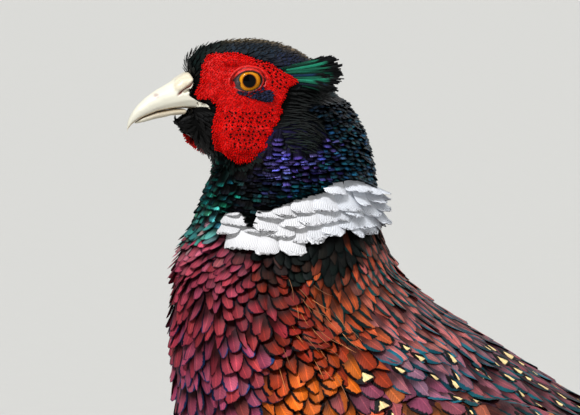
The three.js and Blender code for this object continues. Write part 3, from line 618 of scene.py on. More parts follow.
def featherMaterial(piece, name, look):
    look = {**vaneBase, **look}
    tree, shader = newMaterial(name, piece, look["roughness"], look["metallic"], look["specular"])
    out, along = vanePlace(tree)[:2]
    place = texturePlace(tree, "Object")
    ragged = times(tree, minus(tree, noise(tree, place, 900, 2), 0.5), look["ragged"])
    limit = times(tree, minus(tree, attribute(tree, "rim", "Fac"), look["rimRoot"]), along)
    limit = plus(tree, limit, look["rimRoot"])
    rim = step(tree, plus(tree, out, ragged), minus(tree, limit, look["soft"]),
               plus(tree, limit, look["soft"]))
    tipBand = plus(tree, along, times(tree, ragged, 0.25))
    tipBand = step(tree, tipBand, look["tip"], look["tip"] + look["tipSoft"])
    edge = calc(tree, "MAXIMUM", rim, tipBand)
    colour = mix(tree, edge, attribute(tree, "tone"), attribute(tree, "edge"))
    if "halo" in look:
        colour = creamMark(tree, look, colour, out, along, ragged)
    if "shaft" in look or "shaftLift" in look:
        line = times(tree, step(tree, out, look["shaftWidth"], 0.02), look["shaftShow"])
        shaft = look["shaft"] if "shaft" in look else tint(tree, colour, look["shaftLift"])
        colour = mix(tree, line, colour, shaft)
    if "rootShade" in look:
        dim = step(tree, along, look["rootFrom"], look["rootTo"])
        colour = tint(tree, colour, timesPlus(tree, dim, 1 - look["rootShade"], look["rootShade"]))
    if "edgeMetal" in look:
        metal = timesPlus(tree, edge, look["edgeMetal"] - look["metallic"], look["metallic"])
        wire(tree, metal, shader.inputs["Metallic"])
    barbs = minus(tree, times(tree, along, look["barbs"]), times(tree, out, look["slant"]))
    barbs = calc(tree, "SINE", barbs)
    streak = timesPlus(tree, barbs, look["streak"], 0.93)
    cloud = timesPlus(tree, noise(tree, place, 260, 3), look["cloud"], 1 - look["cloud"] / 2)
    wire(tree, tint(tree, colour, times(tree, streak, cloud)), shader.inputs["Base Color"])
    bump(tree, shader, barbs, look["relief"], 0.00012)


def even(value, count):  # one value for each feather
    return np.full(count, float(value)) if np.ndim(value) == 0 else value


def flock(root, lie, thick, place, **given):  # what featherPiece needs, with usual values where none is given
    feathers = {"low": 0.1, "camber": 0.0, "roll": 0.0, "rim": 0.8, "mark": 0.0, **given}
    feathers = {key: even(value, len(root)) for key, value in feathers.items()}
    if "edge" in feathers:
        feathers["edge"] = feathers["edge"] * np.ones((len(root), 1))
    return {**feathers, "root": root, "lie": lie, "thick": thick, "place": place.clip(0.01, 0.99)}


def layFeathers(name, rows, shape, feathers, surface, material, look, nodes):
    piece = featherPiece(name, vanePattern(*rows), shape, feathers, surface)
    featherMaterial(piece, material, look)
    putDown(piece, nodes)
    print(name, len(feathers["root"]))


# Where each colour lies on the coat: place (x, z), reach, colour of the vane, colour of its edge,
# how far the edge colour comes in at the tip (1 is none) and the share of feathers with a cream mark
plumage = {
    "throat": ((-14, 374), (9, 12), (18, 104, 98), (4, 18, 22), 0.75, 0),
    "foreneck": ((-19, 358), (8, 9), (84, 190, 182), (14, 50, 54), 0.75, 0),
    # painted shade: the side of the neck under the cheek darkened to near black
    "neckHollowShade": ((-2, 369), (11, 13), (8, 10, 20), (2, 3, 6), 0.7, 0),
    "neckViolet": ((20, 384), (13, 8), (84, 76, 158), (6, 6, 18), 0.7, 0),
    "neckBlue": ((39, 386), (9, 12), (26, 92, 116), (4, 8, 14), 0.68, 0),
    "neckFoot": ((26, 372), (16, 5), (18, 84, 96), (3, 8, 12), 0.68, 0),
    "napeTop": ((34, 403), (9, 7), (18, 40, 58), (4, 7, 13), 0.65, 0),
    # the dark band under the ring: partly the feathers' own dark green, partly painted shade under the ring's
    # edge
    "underRing": ((25, 345), (18, 7.5), (7, 30, 27), (2, 6, 6), 0.7, 0),
    "breastTop": ((-20, 344), (16, 12), (160, 64, 86), (16, 12, 30), 0.78, 0),
    "breastMiddle": ((-12, 322), (22, 20), (138, 44, 56), (8, 8, 20), 0.68, 0),
    "breastLow": ((-22, 296), (20, 22), (146, 64, 90), (16, 42, 80), 0.62, 0),
    "shoulderRust": ((14, 326), (11, 18), (120, 32, 16), (8, 6, 8), 0.62, 0),
    "shoulder": ((38, 331), (12, 12), (176, 76, 40), (7, 36, 36), 0.35, 0),
    "mantleTop": ((60, 338), (14, 9), (176, 92, 84), (12, 74, 76), 0.3, 0),
    "mantle": ((78, 322), (16, 12), (164, 92, 92), (18, 78, 92), 0.32, 0),
    "mantleLow": ((84, 306), (20, 8), (138, 96, 114), (24, 86, 104), 0.4, 0.5),
    "mantleBack": ((112, 300), (22, 14), (132, 66, 78), (16, 70, 78), 0.38, 0.44),
    "flankPurple": ((58, 296), (16, 8), (128, 62, 84), (12, 16, 22), 0.75, 0.35),
    "flankGold": ((30, 292), (16, 14), (198, 94, 20), (9, 5, 5), 0.62, 0),
    "flankRust": ((26, 306), (16, 8), (150, 48, 14), (9, 5, 5), 0.6, 0),
    "flank": ((70, 230), (50, 40), (196, 108, 40), (18, 10, 12), 0.8, 0),
    "flankRear": ((150, 205), (40, 28), (176, 100, 52), (26, 14, 12), 0.78, 0),
    "belly": ((70, 168), (60, 20), (44, 30, 26), (16, 12, 14), 0.8, 0),
    "breastKeel": ((-6, 240), (22, 30), (116, 44, 54), (14, 18, 40), 0.76, 0),
    "vent": ((215, 190), (40, 22), (70, 44, 32), (28, 20, 18), 0.85, 0),
    "back": ((165, 278), (28, 14), (124, 58, 50), (18, 38, 36), 0.62, 0.45),
    "rump": ((232, 250), (38, 14), (126, 62, 42), (66, 74, 58), 0.7, 0),
}


def belowRing(points):  # how far a place on the coat lies under the ring's lower edge
    turn = np.arange(0, 138, 3.0)
    low = ringHeight("low", turn)
    t = np.linspace(*ringSpan, 300)
    foot = []
    for angle, height in zip(turn, low):
        line = bodyPoint(t, np.full(len(t), angle))
        foot.append(line[int(np.argmin(np.abs(line[:, 2] - height))), 0])
    return np.interp(points[:, 0], foot[::-1], low[::-1]) - points[:, 2]


def paints(colours):
    return np.array([paint(*colour) for colour in colours])


def coatColour(points):
    x, z = points[:, 0], points[:, 2]
    at, reach, tones, edges, rims, marks = zip(*plumage.values())
    far = (((points[:, None, [0, 2]] - np.array(at)) / np.array(reach)) ** 2).sum(-1)
    weight = np.exp(-1.6 * (far - far.min(1, keepdims=True)))
    weight = (weight * rng.uniform(0.05, 1.0, weight.shape) ** 2) ** 1.7
    weight /= weight.sum(1, keepdims=True)
    tone, edge = weight @ paints(tones), weight @ paints(edges)
    mark = rng.random(len(x)) < weight @ np.array(marks)
    below = belowRing(points) + rng.uniform(-0.8, 0.8, len(x))
    # a narrow band just under the ring's lower edge turned dark green: partly the feathers' own colour,
    # partly painted shade under the ring
    shade = (smooth(5.5, 2.2, below) * smooth(-14, -4, x) * (z < 362))[:, None]
    tone = tone * (1 - shade) + paint(4, 17, 16) * shade
    # painted shade: feathers up to 15 mm under the ring's rear side darkened by up to 45%
    tone = tone * (1 - 0.45 * smooth(15, 4, below) * smooth(5, 25, x) * (z < 362))[:, None]
    edge = edge * (1 - 0.7 * shade)
    tone = tone * rng.uniform(0.62, 1.2, (len(x), 1)) * rng.uniform(0.9, 1.1, (len(x), 3))
    # random brightness of the dark edges: partly their own blue gloss, partly painted glints
    edge = edge * rng.uniform(0.2, 1.9, (len(x), 1))
    return tone, edge, weight @ np.array(rims), mark * rng.uniform(0.55, 1.05, len(x))


def rooted(t, angle, gap, pace):  # feathers at places of the body's plan, each lying towards the tail
    ahead = np.minimum(t + 0.004, 1)
    lie = unit(bodyPoint(ahead, angle) - bodyPoint(ahead - 0.008, angle))
    place = np.stack([(angle % 360) / 360, t], -1) * 0.98 + 0.01
    return {"root": bodyPoint(t, angle), "lie": lie, "gap": gap, "step": pace, "place": place, "angle": angle}


# Feathers set in columns that run down the body, each column half a step ahead of the next
def columnRoots(columns, start, stop, stepOf, keep, wander=0.12):
    places, turns = [], []
    t = np.linspace(start, stop, 900)
    for c in range(columns):
        angle = (c + 0.5) * 360 / columns - 180
        line = bodyPoint(t, np.full(len(t), angle))
        pace = np.linalg.norm(np.diff(line, axis=0), axis=1)
        count = np.concatenate([[0], np.cumsum(pace / stepOf((line[1:] + line[:-1]) / 2))])
        at = np.arange(0.5 * (c % 2) + 0.1, count[-1], 1.0)
        at = at + rng.uniform(-wander, wander, len(at))
        places.append(np.interp(at, count, t))
        turns.append(angle + rng.uniform(-wander, wander, len(at)) * 360 / columns)
    t, angle = np.concatenate(places), np.concatenate(turns)
    root = bodyPoint(t, angle)
    kept = keep(root, t, angle)
    t, angle = t[kept], angle[kept]
    gap = np.linalg.norm(bodyPoint(t, angle + 1) - bodyPoint(t, angle - 1), axis=1) / 2 * 360 / columns
    return rooted(t, angle, gap, stepOf(root[kept]))


def softField(points, size, seed):  # a smooth random value from -1 to 1 that changes over the size given
    waves = np.random.default_rng(seed)
    total = np.zeros(len(points))
    for _ in range(7):
        direction = unit(waves.normal(size=3))
        turns = points @ direction * 2 * math.pi / (size * waves.uniform(1.2, 3))
        total += np.sin(turns + waves.uniform(0, 6.3))
    return np.clip(total / 3.2, -1, 1)


def dress(roots, widthShare, lengthShare, depth, camber, rollShare=0.06):
    count = len(roots["root"])
    vary = lambda amount: rng.uniform(1 - amount, 1 + amount, count)
    roots["width"] = roots["gap"] * widthShare * vary(0.1)
    roots["length"] = roots["step"] * lengthShare * vary(0.12)
    roots["low"] = np.full(count, 0.15)
    roots["high"] = depth * vary(0.12)
    roots["camber"] = roots["width"] * camber * vary(0.3)
    roots["roll"] = roots["width"] * rollShare * np.where(roots["root"][:, 1] < 0, 1, -1) * vary(0.5)
    roots["curl"] = rng.uniform(-0.25, 0.2, count)
    roots["sway"] = rng.normal(0, 0.05, count)
    roots["thick"] = 0.18
    tips = roots["root"] + roots["lie"] * roots["length"][:, None]
    roots["tone"], roots["edge"], roots["rim"], roots["mark"] = coatColour(tips)


roundTip = [0.45, 0.85, 1.0, 0.93, 0.62]
roundRows = [0.12, 0.45, 0.72, 0.87, 0.96]
shortTip = [0.75, 1.0, 0.6]
shortRows = ([0.3, 0.7, 0.92], 3)
neckLook = {"columns": 56, "roughness": 0.4, "metallic": 0.75, "streak": 0.16, "cloud": 1.2, "soft": 0.22,
            "tip": 0.92, "tipSoft": 0.06, "rootShade": 0.05, "rootFrom": 0.7, "rootTo": 0.9, "specular": 0.1}
breastLook = {"columns": 70, "pace": 5.2, "roughness": 0.5, "metallic": 0.12, "edgeMetal": 0.65,
              "streak": 0.07, "cloud": 0.8, "soft": 0.07, "tip": 0.95, "halo": paint(9, 9, 10),
              "centre": paint(232, 206, 150), "relief": 0.15, "rootShade": 0.12, "rootFrom": 0.52,
              "rootTo": 0.84, "shaftLift": (2.0, 1.8, 1.5), "shaftShow": 0.7, "specular": 0.1}
mantleLook = dict(breastLook, columns=66, pace=5.6, rootShade=0.2, rootFrom=0.45, rootTo=0.75)

# Upper and lower edge of the white ring, in height over the floor, by degrees from the nape
ringEdge = {
    "angles": [0, 14, 36, 49, 52, 64, 67, 76, 89, 106, 109.5, 112.5, 115, 120, 132, 137],
    "top": [373, 374, 376.8, 377.6, 377, 376, 373, 372, 370.2, 366, 360, 360, 363.8, 365.6, 365.6, 362.8],
    "low": [360, 360, 357, 356.5, 356, 354.5, 353.6, 353.4, 349.5, 349.7, 349.8, 350.2, 350.5, 351.5, 355,
            356.2],
}
earPatch = {"at": (20, 398.5), "reach": (11, 11)}


def ringHeight(edge, angle):
    return np.interp(np.abs(angle), ringEdge["angles"], ringEdge[edge])


def earReach(points):  # 1 on the rim of the hairy black patch behind the face, less inside it
    x, z = points[..., 0] - earPatch["at"][0], points[..., 2] - earPatch["at"][1]
    return np.hypot(x / earPatch["reach"][0], z / earPatch["reach"][1]) + 9 * (np.abs(points[..., 1]) < 6)


def faceReach(points):  # distance inside the bare red face, negative outside it
    local = turnHead(points, back=True)
    return np.where(np.abs(local[..., 1]) > 6, outlineReach(faceOutline, local[..., 0], local[..., 2]), -9)


def throatPlane(points):  # positive on the body's side of the cut between head and neck
    tilt = math.radians(26.5)
    return (points[:, 0] + 13.5) * math.sin(tilt) - (points[:, 2] - 384.2) * math.cos(tilt)


def collarRoots(gap):  # two close rows of feathers whose tips lie along the top of the white ring
    rows = []
    t = np.linspace(*ringSpan, 400)
    for row, above in enumerate((3.0, 4.4)):
        for angle in np.arange(row - 132, 132.5, 2.0):
            turned = angle + rng.uniform(-0.5, 0.5)
            line = bodyPoint(t, np.full(len(t), turned))
            height = ringHeight("top", turned) + above + rng.uniform(-0.5, 0.5)
            rows.append([t[int(np.argmin(np.abs(line[:, 2] - height)))], turned])
    rows = np.array(rows)
    return rooted(rows[:, 0], rows[:, 1], np.full(len(rows), gap), np.full(len(rows), 1.6))


def makeNeckFeathers(surface):
    stepOf = lambda p: 1.15 + 0.9 * smooth(5, -12, p[..., 0]) + 0.4 * smooth(378, 365, p[..., 2])

    def keep(root, t, angle):
        inFront = (np.abs(angle) > ringEnd) & (t < 0.288)
        clear = (root[:, 2] > ringHeight("top", angle) + 2.6) | inFront
        return (throatPlane(root) > -5) & clear & (faceReach(root) < -0.5) & (earReach(root) > 0.72)
    roots = columnRoots(neckLook["columns"], 0.03, 0.34, stepOf, keep, 0.28)
    collar = collarRoots(roots["gap"].mean())
    roots = {key: np.concatenate([value, collar[key]]) for key, value in roots.items()}
    dress(roots, 1.5, 4.6, 2.2, 0.14, rollShare=0.1)
    count = len(roots["root"])
    turn = np.abs(roots["angle"])
    # random brightness per feather: partly the gloss's own patchy colour, partly painted glints where the
    # gloss catches the light
    glintFade = rng.uniform(0.16, 1.3, (count, 1)) ** 1.4
    roots["tone"] = roots["tone"] * glintFade * rng.uniform(0.75, 1.25, (count, 3))
    roots["roll"] = roots["roll"] + roots["width"] * rng.normal(0, 0.13, count)
    over = roots["root"][:, 2] - ringHeight("top", turn)
    short = np.minimum(roots["length"], np.maximum(over - 0.4, 2.6))
    roots["length"] = np.where(turn < ringEnd, short, roots["length"])
    stand = smooth(9, 4, over) * (turn < ringEnd) * (0.35 + 0.65 * smooth(15, 45, turn))
    roots["high"] = roots["high"] + 0.7 * stand
    layFeathers("neck_feathers", ([0.3, 0.7, 0.88, 0.965], 5), [0.8, 1.0, 0.9, 0.6], roots, surface,
                "neckGloss", neckLook, ["neck"])


hidden = {"band": (112, 246), "pad": (84, 150), "top": 282, "middle": 15}  # in X, X, Z and Y


def underWing(points):  # places that the folded wing's long feathers hide
    x, z = points[..., 0], points[..., 2]
    band, pad = hidden["band"], hidden["pad"]
    band = (x > band[0]) & (x < band[1]) & (z < wingLine(x, 0) - 3) & (z > wingLine(x, 8) + 3)
    pad = (x > pad[0]) & (x <= pad[1]) & (outlineReach(wingPad["outline"], x, z) > 5) & (z < hidden["top"])
    return (band | pad) & (np.abs(points[..., 1]) > hidden["middle"])


def makeBodyFeathers(surface, name, look, covered):  # covered says which angles are this piece's
    def keep(root, t, angle):
        turn = np.abs(angle)
        below = np.where(turn > ringEnd, t > 0.235, root[:, 2] < ringHeight("low", turn) + 7)
        return covered(turn) & (flankReach(root, angle) > 0.72) & ~underWing(root) & below

    def stepOf(p):
        x, z = p[..., 0], p[..., 2]
        high = 1 - 0.36 * smooth(336, 349, z)
        return look["pace"] * high + 1.4 * smooth(316, 292, z) + 2.2 * smooth(60, 150, x)
    roots = columnRoots(look["columns"], 0.18, 0.985, stepOf, keep)
    root, count = roots["root"], len(roots["root"])
    back = smooth(100, 60, np.abs(roots["angle"]))
    dress(roots, 1.55, 2.9, 3.3 - 1.7 * back, 0.1)
    roots["point"] = np.clip(rng.uniform(-0.2, 0.75, count) + 0.1 * back, -0.15, 0.8)
    roots["curl"] = rng.uniform(-0.6, 0.6, count) * (1 - 0.7 * back) - 0.6 * back
    clump = softField(root, 9, 3)
    roots["high"] = roots["high"] + 1.1 * clump * (1 - 0.75 * back)
    roots["sway"] = roots["sway"] + 0.22 * softField(root, 14, 4) + rng.normal(0, 0.05, count)
    roots["roll"] = roots["roll"] + roots["width"] * rng.normal(0, 0.1, count)
    tone = roots["tone"]
    green = (tone[:, 1] > tone[:, 0] * 1.1)[:, None]
    tone = np.where(green & (root[:, 2:] < 359) & (root[:, :1] < 0), paint(122, 44, 60), tone)
    # painted light and shade: feathers on the clumps' crests lightened, those in the dips between clumps
    # darkened
    roots["tone"] = tone * (1 + 0.3 * clump[:, None] * (1 - 0.5 * back[:, None])) * np.where(green, 0.45, 1)
    layFeathers(name, (roundRows, 5), roundTip, roots, surface,
                name.split("_")[0] + "Vanes", look, ["torso"])


hairLook = {"count": 30, "roughness": 0.5, "streak": 0.05, "cloud": 0.3, "soft": 0.2, "tip": 0.99,
            "specular": 0.3}


def makeShoulderHairs(surface):  # long pale filaments that stand off the feathers below the ring
    rows = []
    for side, hand in hands:
        for _ in range(hairLook["count"]):
            rows.append([rng.normal(24, 8), side, rng.normal(333, 11), rng.normal(0.15, 0.22),
                         rng.uniform(7, 14)])
    x, side, z, lean, length = np.array(rows).T
    count = len(rows)
    root = drape(surface, np.stack([x, side * 60, z], -1))[0]
    lie = np.stack([0.5 + lean, 0 * x, 0 * x - 1], -1)
    place = np.stack([0.5 + side * 0.2 + (x - 20) / 400, (z - 280) / 100], -1)
    hairs = flock(root, lie, 0.16, place, width=rng.uniform(0.14, 0.22, count), length=length,
                  low=rng.uniform(2.2, 3.2, count), high=rng.uniform(3.8, 5.2, count),
                  curl=rng.uniform(-1, 1, count), sway=rng.normal(0, 0.2, count), rim=1.3,
                  tone=paint(222, 134, 70) * rng.uniform(0.2, 0.9, (count, 1)), edge=paint(120, 60, 30))
    layFeathers("shoulder_hairs", ([0.1, 0.3, 0.5, 0.7, 0.9], 3), [1, 1, 0.9, 0.8, 0.5], hairs, surface,
                "paleHairs", hairLook, ["torso"])


flankLook = {"columns": 44, "step": 9.5, "middle": (62, 246), "reach": (54, 58)}


def flankReach(points, angle):  # 1 on the rim of the flank's large feathers, less inside it
    x, z = points[..., 0] - flankLook["middle"][0], points[..., 2] - flankLook["middle"][1]
    away = np.abs(np.abs(angle) - 112) > 46
    return np.hypot(x / flankLook["reach"][0], z / flankLook["reach"][1]) + 9 * away


def makeFlankFeathers(surface):
    stepOf = lambda p: np.full(len(p), flankLook["step"])
    keep = lambda root, t, angle: (flankReach(root, angle) < 0.95) & ~underWing(root)
    roots = columnRoots(flankLook["columns"], 0.25, 0.9, stepOf, keep)
    dress(roots, 1.55, 2.7, 4.2, 0.08)
    roots["point"] = rng.uniform(0, 0.3, len(roots["root"]))
    roots["curl"] = rng.uniform(-0.5, 0.3, len(roots["root"]))
    roots["mark"] = roots["mark"] * 0.55
    layFeathers("flank_feathers", (roundRows, 7), roundTip, roots, surface,
                "flankVanes", breastLook, ["torso"])


# Head: shapes below are given before the head turns to the bird's left
headTurn = math.radians(15)
headAxis = 20  # X of the upright line it turns about
faceOutline = [
    [-18.4, 423.2], [-15.5, 424.5], [-8, 424.3], [-1, 422], [4, 420.6], [9.6, 417], [15.2, 413.9],
    [10.4, 411.4], [8, 403.4], [4.1, 394.5], [1, 390], [-2.4, 386.2], [-5.5, 384.4], [-8.9, 383.6],
    [-12.3, 384.6], [-15.2, 387.6], [-16.8, 393], [-17.2, 398.6], [-15.6, 405], [-18.6, 407.6], [-22, 407],
    [-23.6, 409.6], [-21.4, 413.4], [-20.6, 419.6],
]
billOutline = [
    [-24.4, 418.2], [-23.4, 415.6], [-22.6, 413.2], [-24, 411], [-24.6, 408.8], [-21.4, 406.8],
    [-18.6, 405.8], [-16.6, 403], [-21, 403.2], [-25, 403.6], [-25.4, 401.4], [-31.5, 400.9], [-37, 397.4],
    [-44, 391], [-60, 388], [-60, 432], [-31, 426],
]


def turnHead(points, back=False):
    points = np.asarray(points, float)
    angle = -headTurn if back else headTurn
    cosine, sine = math.cos(angle), math.sin(angle)
    x, y = points[..., 0] - headAxis, points[..., 1]
    return np.stack([x * cosine - y * sine + headAxis, x * sine + y * cosine, points[..., 2]], -1)


def turnedBy(direction):
    return turnHead(np.asarray(direction, float) + [headAxis, 0, 0]) - [headAxis, 0, 0]


def scatter(piece, spacing, region, seed=5):  # face middles no nearer to each other than spacing
    mesh = piece.data
    middles, normals = np.zeros(len(mesh.polygons) * 3), np.zeros(len(mesh.polygons) * 3)
    mesh.polygons.foreach_get("center", middles)
    mesh.polygons.foreach_get("normal", normals)
    middles, normals = toMillimetres(middles.reshape(-1, 3)), normals.reshape(-1, 3)
    chosen = np.flatnonzero(region(middles, normals))
    order = np.random.default_rng(seed).permutation(chosen)
    near, kept = {}, []
    for i in order.tolist():
        p = middles[i]
        gap = spacing(p) if callable(spacing) else spacing
        cell = tuple((p // 3).astype(int))
        crowd = [q for dx in (-1, 0, 1) for dy in (-1, 0, 1) for dz in (-1, 0, 1)
                 for q in near.get((cell[0] + dx, cell[1] + dy, cell[2] + dz), ())]
        if all((q[0] - p[0]) ** 2 + (q[1] - p[1]) ** 2 + (q[2] - p[2]) ** 2 > gap * gap for q in crowd):
            near.setdefault(cell, []).append(p)
            kept.append(i)
    return middles[kept], normals[kept]


headPlumage = {  # place (x, y, z) with y on either side, reach, colour, colour of the edge
    "forehead": ((-22, 0, 424), (6, 9, 6), (6, 24, 22), (3, 7, 7)),
    "crown": ((0, 0, 431), (15, 7, 3.4), (112, 98, 74), (44, 38, 28)),
    "crownRear": ((17, 0, 428), (9, 8, 4), (118, 100, 76), (48, 40, 30)),
    "crownSide": ((-4, 10, 427), (12, 4, 4), (12, 30, 44), (4, 7, 12)),
    "crownSideRear": ((12, 13, 421), (7, 5, 5), (16, 26, 54), (5, 7, 16)),
    "nape": ((28, 0, 414), (8, 9, 8), (12, 46, 52), (4, 10, 14)),
    "earCoverts": ((19, 14, 403), (9, 6, 9), (9, 17, 16), (3, 4, 4)),
    "earRear": ((29, 14, 399), (4, 7, 8), (22, 34, 40), (5, 7, 9)),
    "earLow": ((14, 14, 391), (9, 6, 5), (6, 24, 20), (3, 6, 6)),
    "lores": ((-24, 6, 408), (5, 5, 5), (6, 7, 8), (3, 3, 4)),
    "chin": ((-23, 0, 396), (7, 8, 8), (5, 6, 7), (3, 3, 4)),
    "throatTop": ((-8, 5, 387), (9, 8, 5), (6, 26, 23), (3, 7, 8)),
}


def headColour(local):
    spots = np.abs(local * [0, 1, 0]) + local * [1, 0, 1]
    at, reach, tones, edges = zip(*headPlumage.values())
    far = (((spots[:, None] - np.array(at)) / np.array(reach)) ** 2).sum(-1)
    weight = np.exp(-1.5 * (far - far.min(1, keepdims=True))) * rng.uniform(0.4, 1, far.shape)
    weight /= weight.sum(1, keepdims=True)
    return weight @ paints(tones) * rng.uniform(0.45, 1.35, (len(local), 1)), weight @ paints(edges)


headLook = {"roughness": 0.5, "metallic": 0.35, "streak": 0.1, "cloud": 0.6, "soft": 0.2, "tip": 0.85,
            "relief": 0.2, "rootShade": 0.3, "rootFrom": 0.3, "rootTo": 0.8, "specular": 0.2}


def makeHeadFeathers(skin, surface):
    def region(points, normals):
        x, y, z = turnHead(points, back=True).T
        onFace = insideOutline(faceOutline, x, z) & (outlineReach(faceOutline, x, z) > 0.7) & (np.abs(y) > 7)
        onBill = outlineReach(billOutline, x, z) > -0.25
        near = (throatPlane(points) < 2) | (earReach(points) < 1.12) | (faceReach(points) > -3.4)
        return near & (z > 380) & ~onFace & ~onBill
    root = scatter(skin, lambda p: 1.12 - 0.25 * float(earReach(p[None])[0] < 1.1), region)[0]
    local = turnHead(root, back=True)
    count = len(root)
    x, y, z = local.T
    wide = np.abs(y)
    flow = unit(local - np.array([-27, 0, 407])) + np.array([0.35, 0, -0.1])
    ear = smooth(1.25, 0.95, earReach(root))
    swirl = np.stack([np.full(count, 1.0), 0 * y, -0.15 - 0.075 * (x - 8)], -1)
    flow = flow * (1 - ear[:, None]) + swirl * ear[:, None]
    under = (smooth(-19, -23, x) * smooth(403.5, 401, z) * (wide < 6))[:, None]
    flow = unit(flow * (1 - under) + np.array([-1.0, 0, -0.2]) * under)
    chin = smooth(-8, -16, x) * smooth(404, 398, z)
    crown = smooth(424, 428, z) * smooth(9, 5, wide)
    brow = smooth(-17, -24, x) * smooth(412, 417, z)
    length = 4.4 + 3.6 * ear + 1.2 * smooth(392, 386, z) + 0.2 * chin + 0.8 * crown
    place = np.stack([(x + 32) / 66 * 0.48 + np.where(y < 0, 0.01, 0.51), (z - 376) / 60], -1)
    feathers = flock(root, turnedBy(flow), 0.12, place,
                     width=(1.3 - 0.82 * ear) * rng.uniform(0.7, 1.3, count),
                     length=length * rng.uniform(0.8, 1.2, count),
                     high=(1.15 + 0.4 * ear + 0.8 * chin + 0.8 * brow) * rng.uniform(0.75, 1.25, count),
                     camber=0.2, curl=rng.uniform(-0.1, 0.25, count), sway=rng.normal(0, 0.09, count),
                     rim=0.75)
    feathers["tone"], feathers["edge"] = headColour(local)
    end = local + flow * length[:, None] * 0.8
    clear = (outlineReach(billOutline, end[:, 0], end[:, 2]) < 0.2) | (x < -26) | (x > -12)
    feathers = {key: (value[clear] if np.ndim(value) else value) for key, value in feathers.items()}
    layFeathers("head_feathers", shortRows, shortTip, feathers, surface,
                "headPlush", headLook, ["head"])


# Free vanes: rows of points across, each row from one edge to the other, closed below and at both ends
def longVanes(name, vanes, columns=7):
    across = np.linspace(-1, 1, columns)
    points, faces, vaneUv, bakeUv, tone, edge, rims, start = [], [], [], [], [], [], [], 0
    for number, vane in enumerate(vanes):
        middle, side, up = (np.asarray(vane[key], float)[:, None] for key in ("middle", "side", "up"))
        half, inner = vane["half"][:, None], vane["inner"][:, None]
        rows = len(middle)
        reach = np.where(across > 0, half, inner) * across
        arch = vane["arch"] * np.abs(reach) * np.abs(across)
        thick = vane["thick"] * (1 - 0.6 * np.abs(across)) * np.ones((rows, 1))
        top = middle + side * reach[..., None] - up * arch[..., None]
        points += [top.reshape(-1, 3), (top - up * thick[..., None]).reshape(-1, 3)]
        size = rows * columns
        a = start + np.arange(size).reshape(rows, columns)
        b = a + size
        for r in range(rows - 1):
            for k in range(columns - 1):
                faces.append((a[r, k], a[r, k + 1], a[r + 1, k + 1], a[r + 1, k]))
                faces.append((b[r, k], b[r + 1, k], b[r + 1, k + 1], b[r, k + 1]))
            faces.append((a[r, 0], a[r + 1, 0], b[r + 1, 0], b[r, 0]))
            faces.append((a[r, -1], b[r, -1], b[r + 1, -1], a[r + 1, -1]))
        for k in range(columns - 1):
            faces.append((a[0, k], b[0, k], b[0, k + 1], a[0, k + 1]))
            faces.append((a[-1, k], a[-1, k + 1], b[-1, k + 1], b[-1, k]))
        v = np.repeat(vane.get("along", np.linspace(0, 1, rows)), columns)
        u = np.tile((across + 1) / 2, rows)
        vaneUv += [np.stack([u, v], -1)] * 2
        bakeUv += [np.stack([(number + 0.08 + 0.84 * u) / len(vanes), 0.01 + 0.98 * v], -1)] * 2
        tone.append(np.tile(vane["tone"], (2 * size, 1)))
        edge.append(np.tile(vane["edge"], (2 * size, 1)))
        rims.append(np.full(2 * size, vane.get("rim", 0.9)))
        start += 2 * size
    faces = [tuple(int(i) for i in face) for face in faces]
    points, vaneUv, bakeUv, tone, edge, rims = map(np.concatenate, (points, vaneUv, bakeUv, tone, edge, rims))
    piece = makePiece(name, points, faces, [("OFBake", bakeUv), ("vane", vaneUv)],
                      [("tone", tone), ("edge", edge)], [("rim", rims), ("mark", rims * 0)])
    selectOnly(piece)
    bpy.ops.object.shade_smooth_by_angle(angle=math.radians(50))
    return piece


# Ear tufts
tuftLook = {"roughness": 0.48, "metallic": 0.4, "streak": 0.2, "cloud": 0.9, "rimRoot": 0.85, "soft": 0.25,
            "tip": 0.55, "tipSoft": 0.2, "barbs": 60, "specular": 0.2}
tuft = {"x": 11.5, "y": 12.2, "z": 416.2, "length": 21.5, "count": 190}


def tuftVane(side):
    level = rng.uniform(-1, 1)
    depth = rng.uniform(0, 1)
    rise = math.radians(1 - 5.5 * level + rng.normal(0, 1.5))
    along = unit(np.array([math.cos(rise), side * (0.1 + 0.1 * depth), math.sin(rise)]))
    out = unit(np.array([-0.1, side, 0.12 * level]))
    across = unit(np.cross(along, out))
    length = tuft["length"] * (1 - 0.1 * abs(level)) * (1.0 - 0.26 * rng.random() ** 2)
    length = length * (0.93 + 0.07 * depth)
    s = np.array([0, 0.25, 0.5, 0.72, 0.88, 1.0])
    start = np.array([tuft["x"] - 1 + rng.uniform(-2, 1), side * (tuft["y"] - 0.6),
                      tuft["z"] - level * 3.4 - 1.8 * (side > 0)])
    droop = np.array([-0.6, 0, rng.normal(0, 0.55) - 1.9 * level])
    middle = start + s[:, None] * length * along + (s**3)[:, None] * droop
    spread = np.array([0, side * rng.normal(0, 0.5), 0])
    middle = middle + out * (0.5 + 3.2 * depth) + (s**2)[:, None] * spread
    half = np.array([0.5, 0.9, 1.0, 1.0, 0.95, 0.6]) * rng.uniform(0.3, 0.62)
    tone = (paint(28, 124, 96) if rng.random() < 0.7 else paint(14, 50, 80)) * rng.uniform(0.05, 1.35) ** 1.5
    return {"middle": turnHead(middle), "side": np.tile(turnedBy(across), (6, 1)),
            "up": np.tile(turnedBy(out), (6, 1)), "half": half, "inner": half,
            "thick": 0.12, "arch": 0.25, "tone": tone, "edge": paint(5, 8, 9)}


def makeEarTufts():
    for side, hand in hands:
        piece = longVanes("ear_feathers_" + hand, [tuftVane(side) for _ in range(tuft["count"])], 3)
        featherMaterial(piece, "earTuft_" + hand, tuftLook)
        putDown(piece, ["ear_tuft_" + hand])
    print("ear tufts")


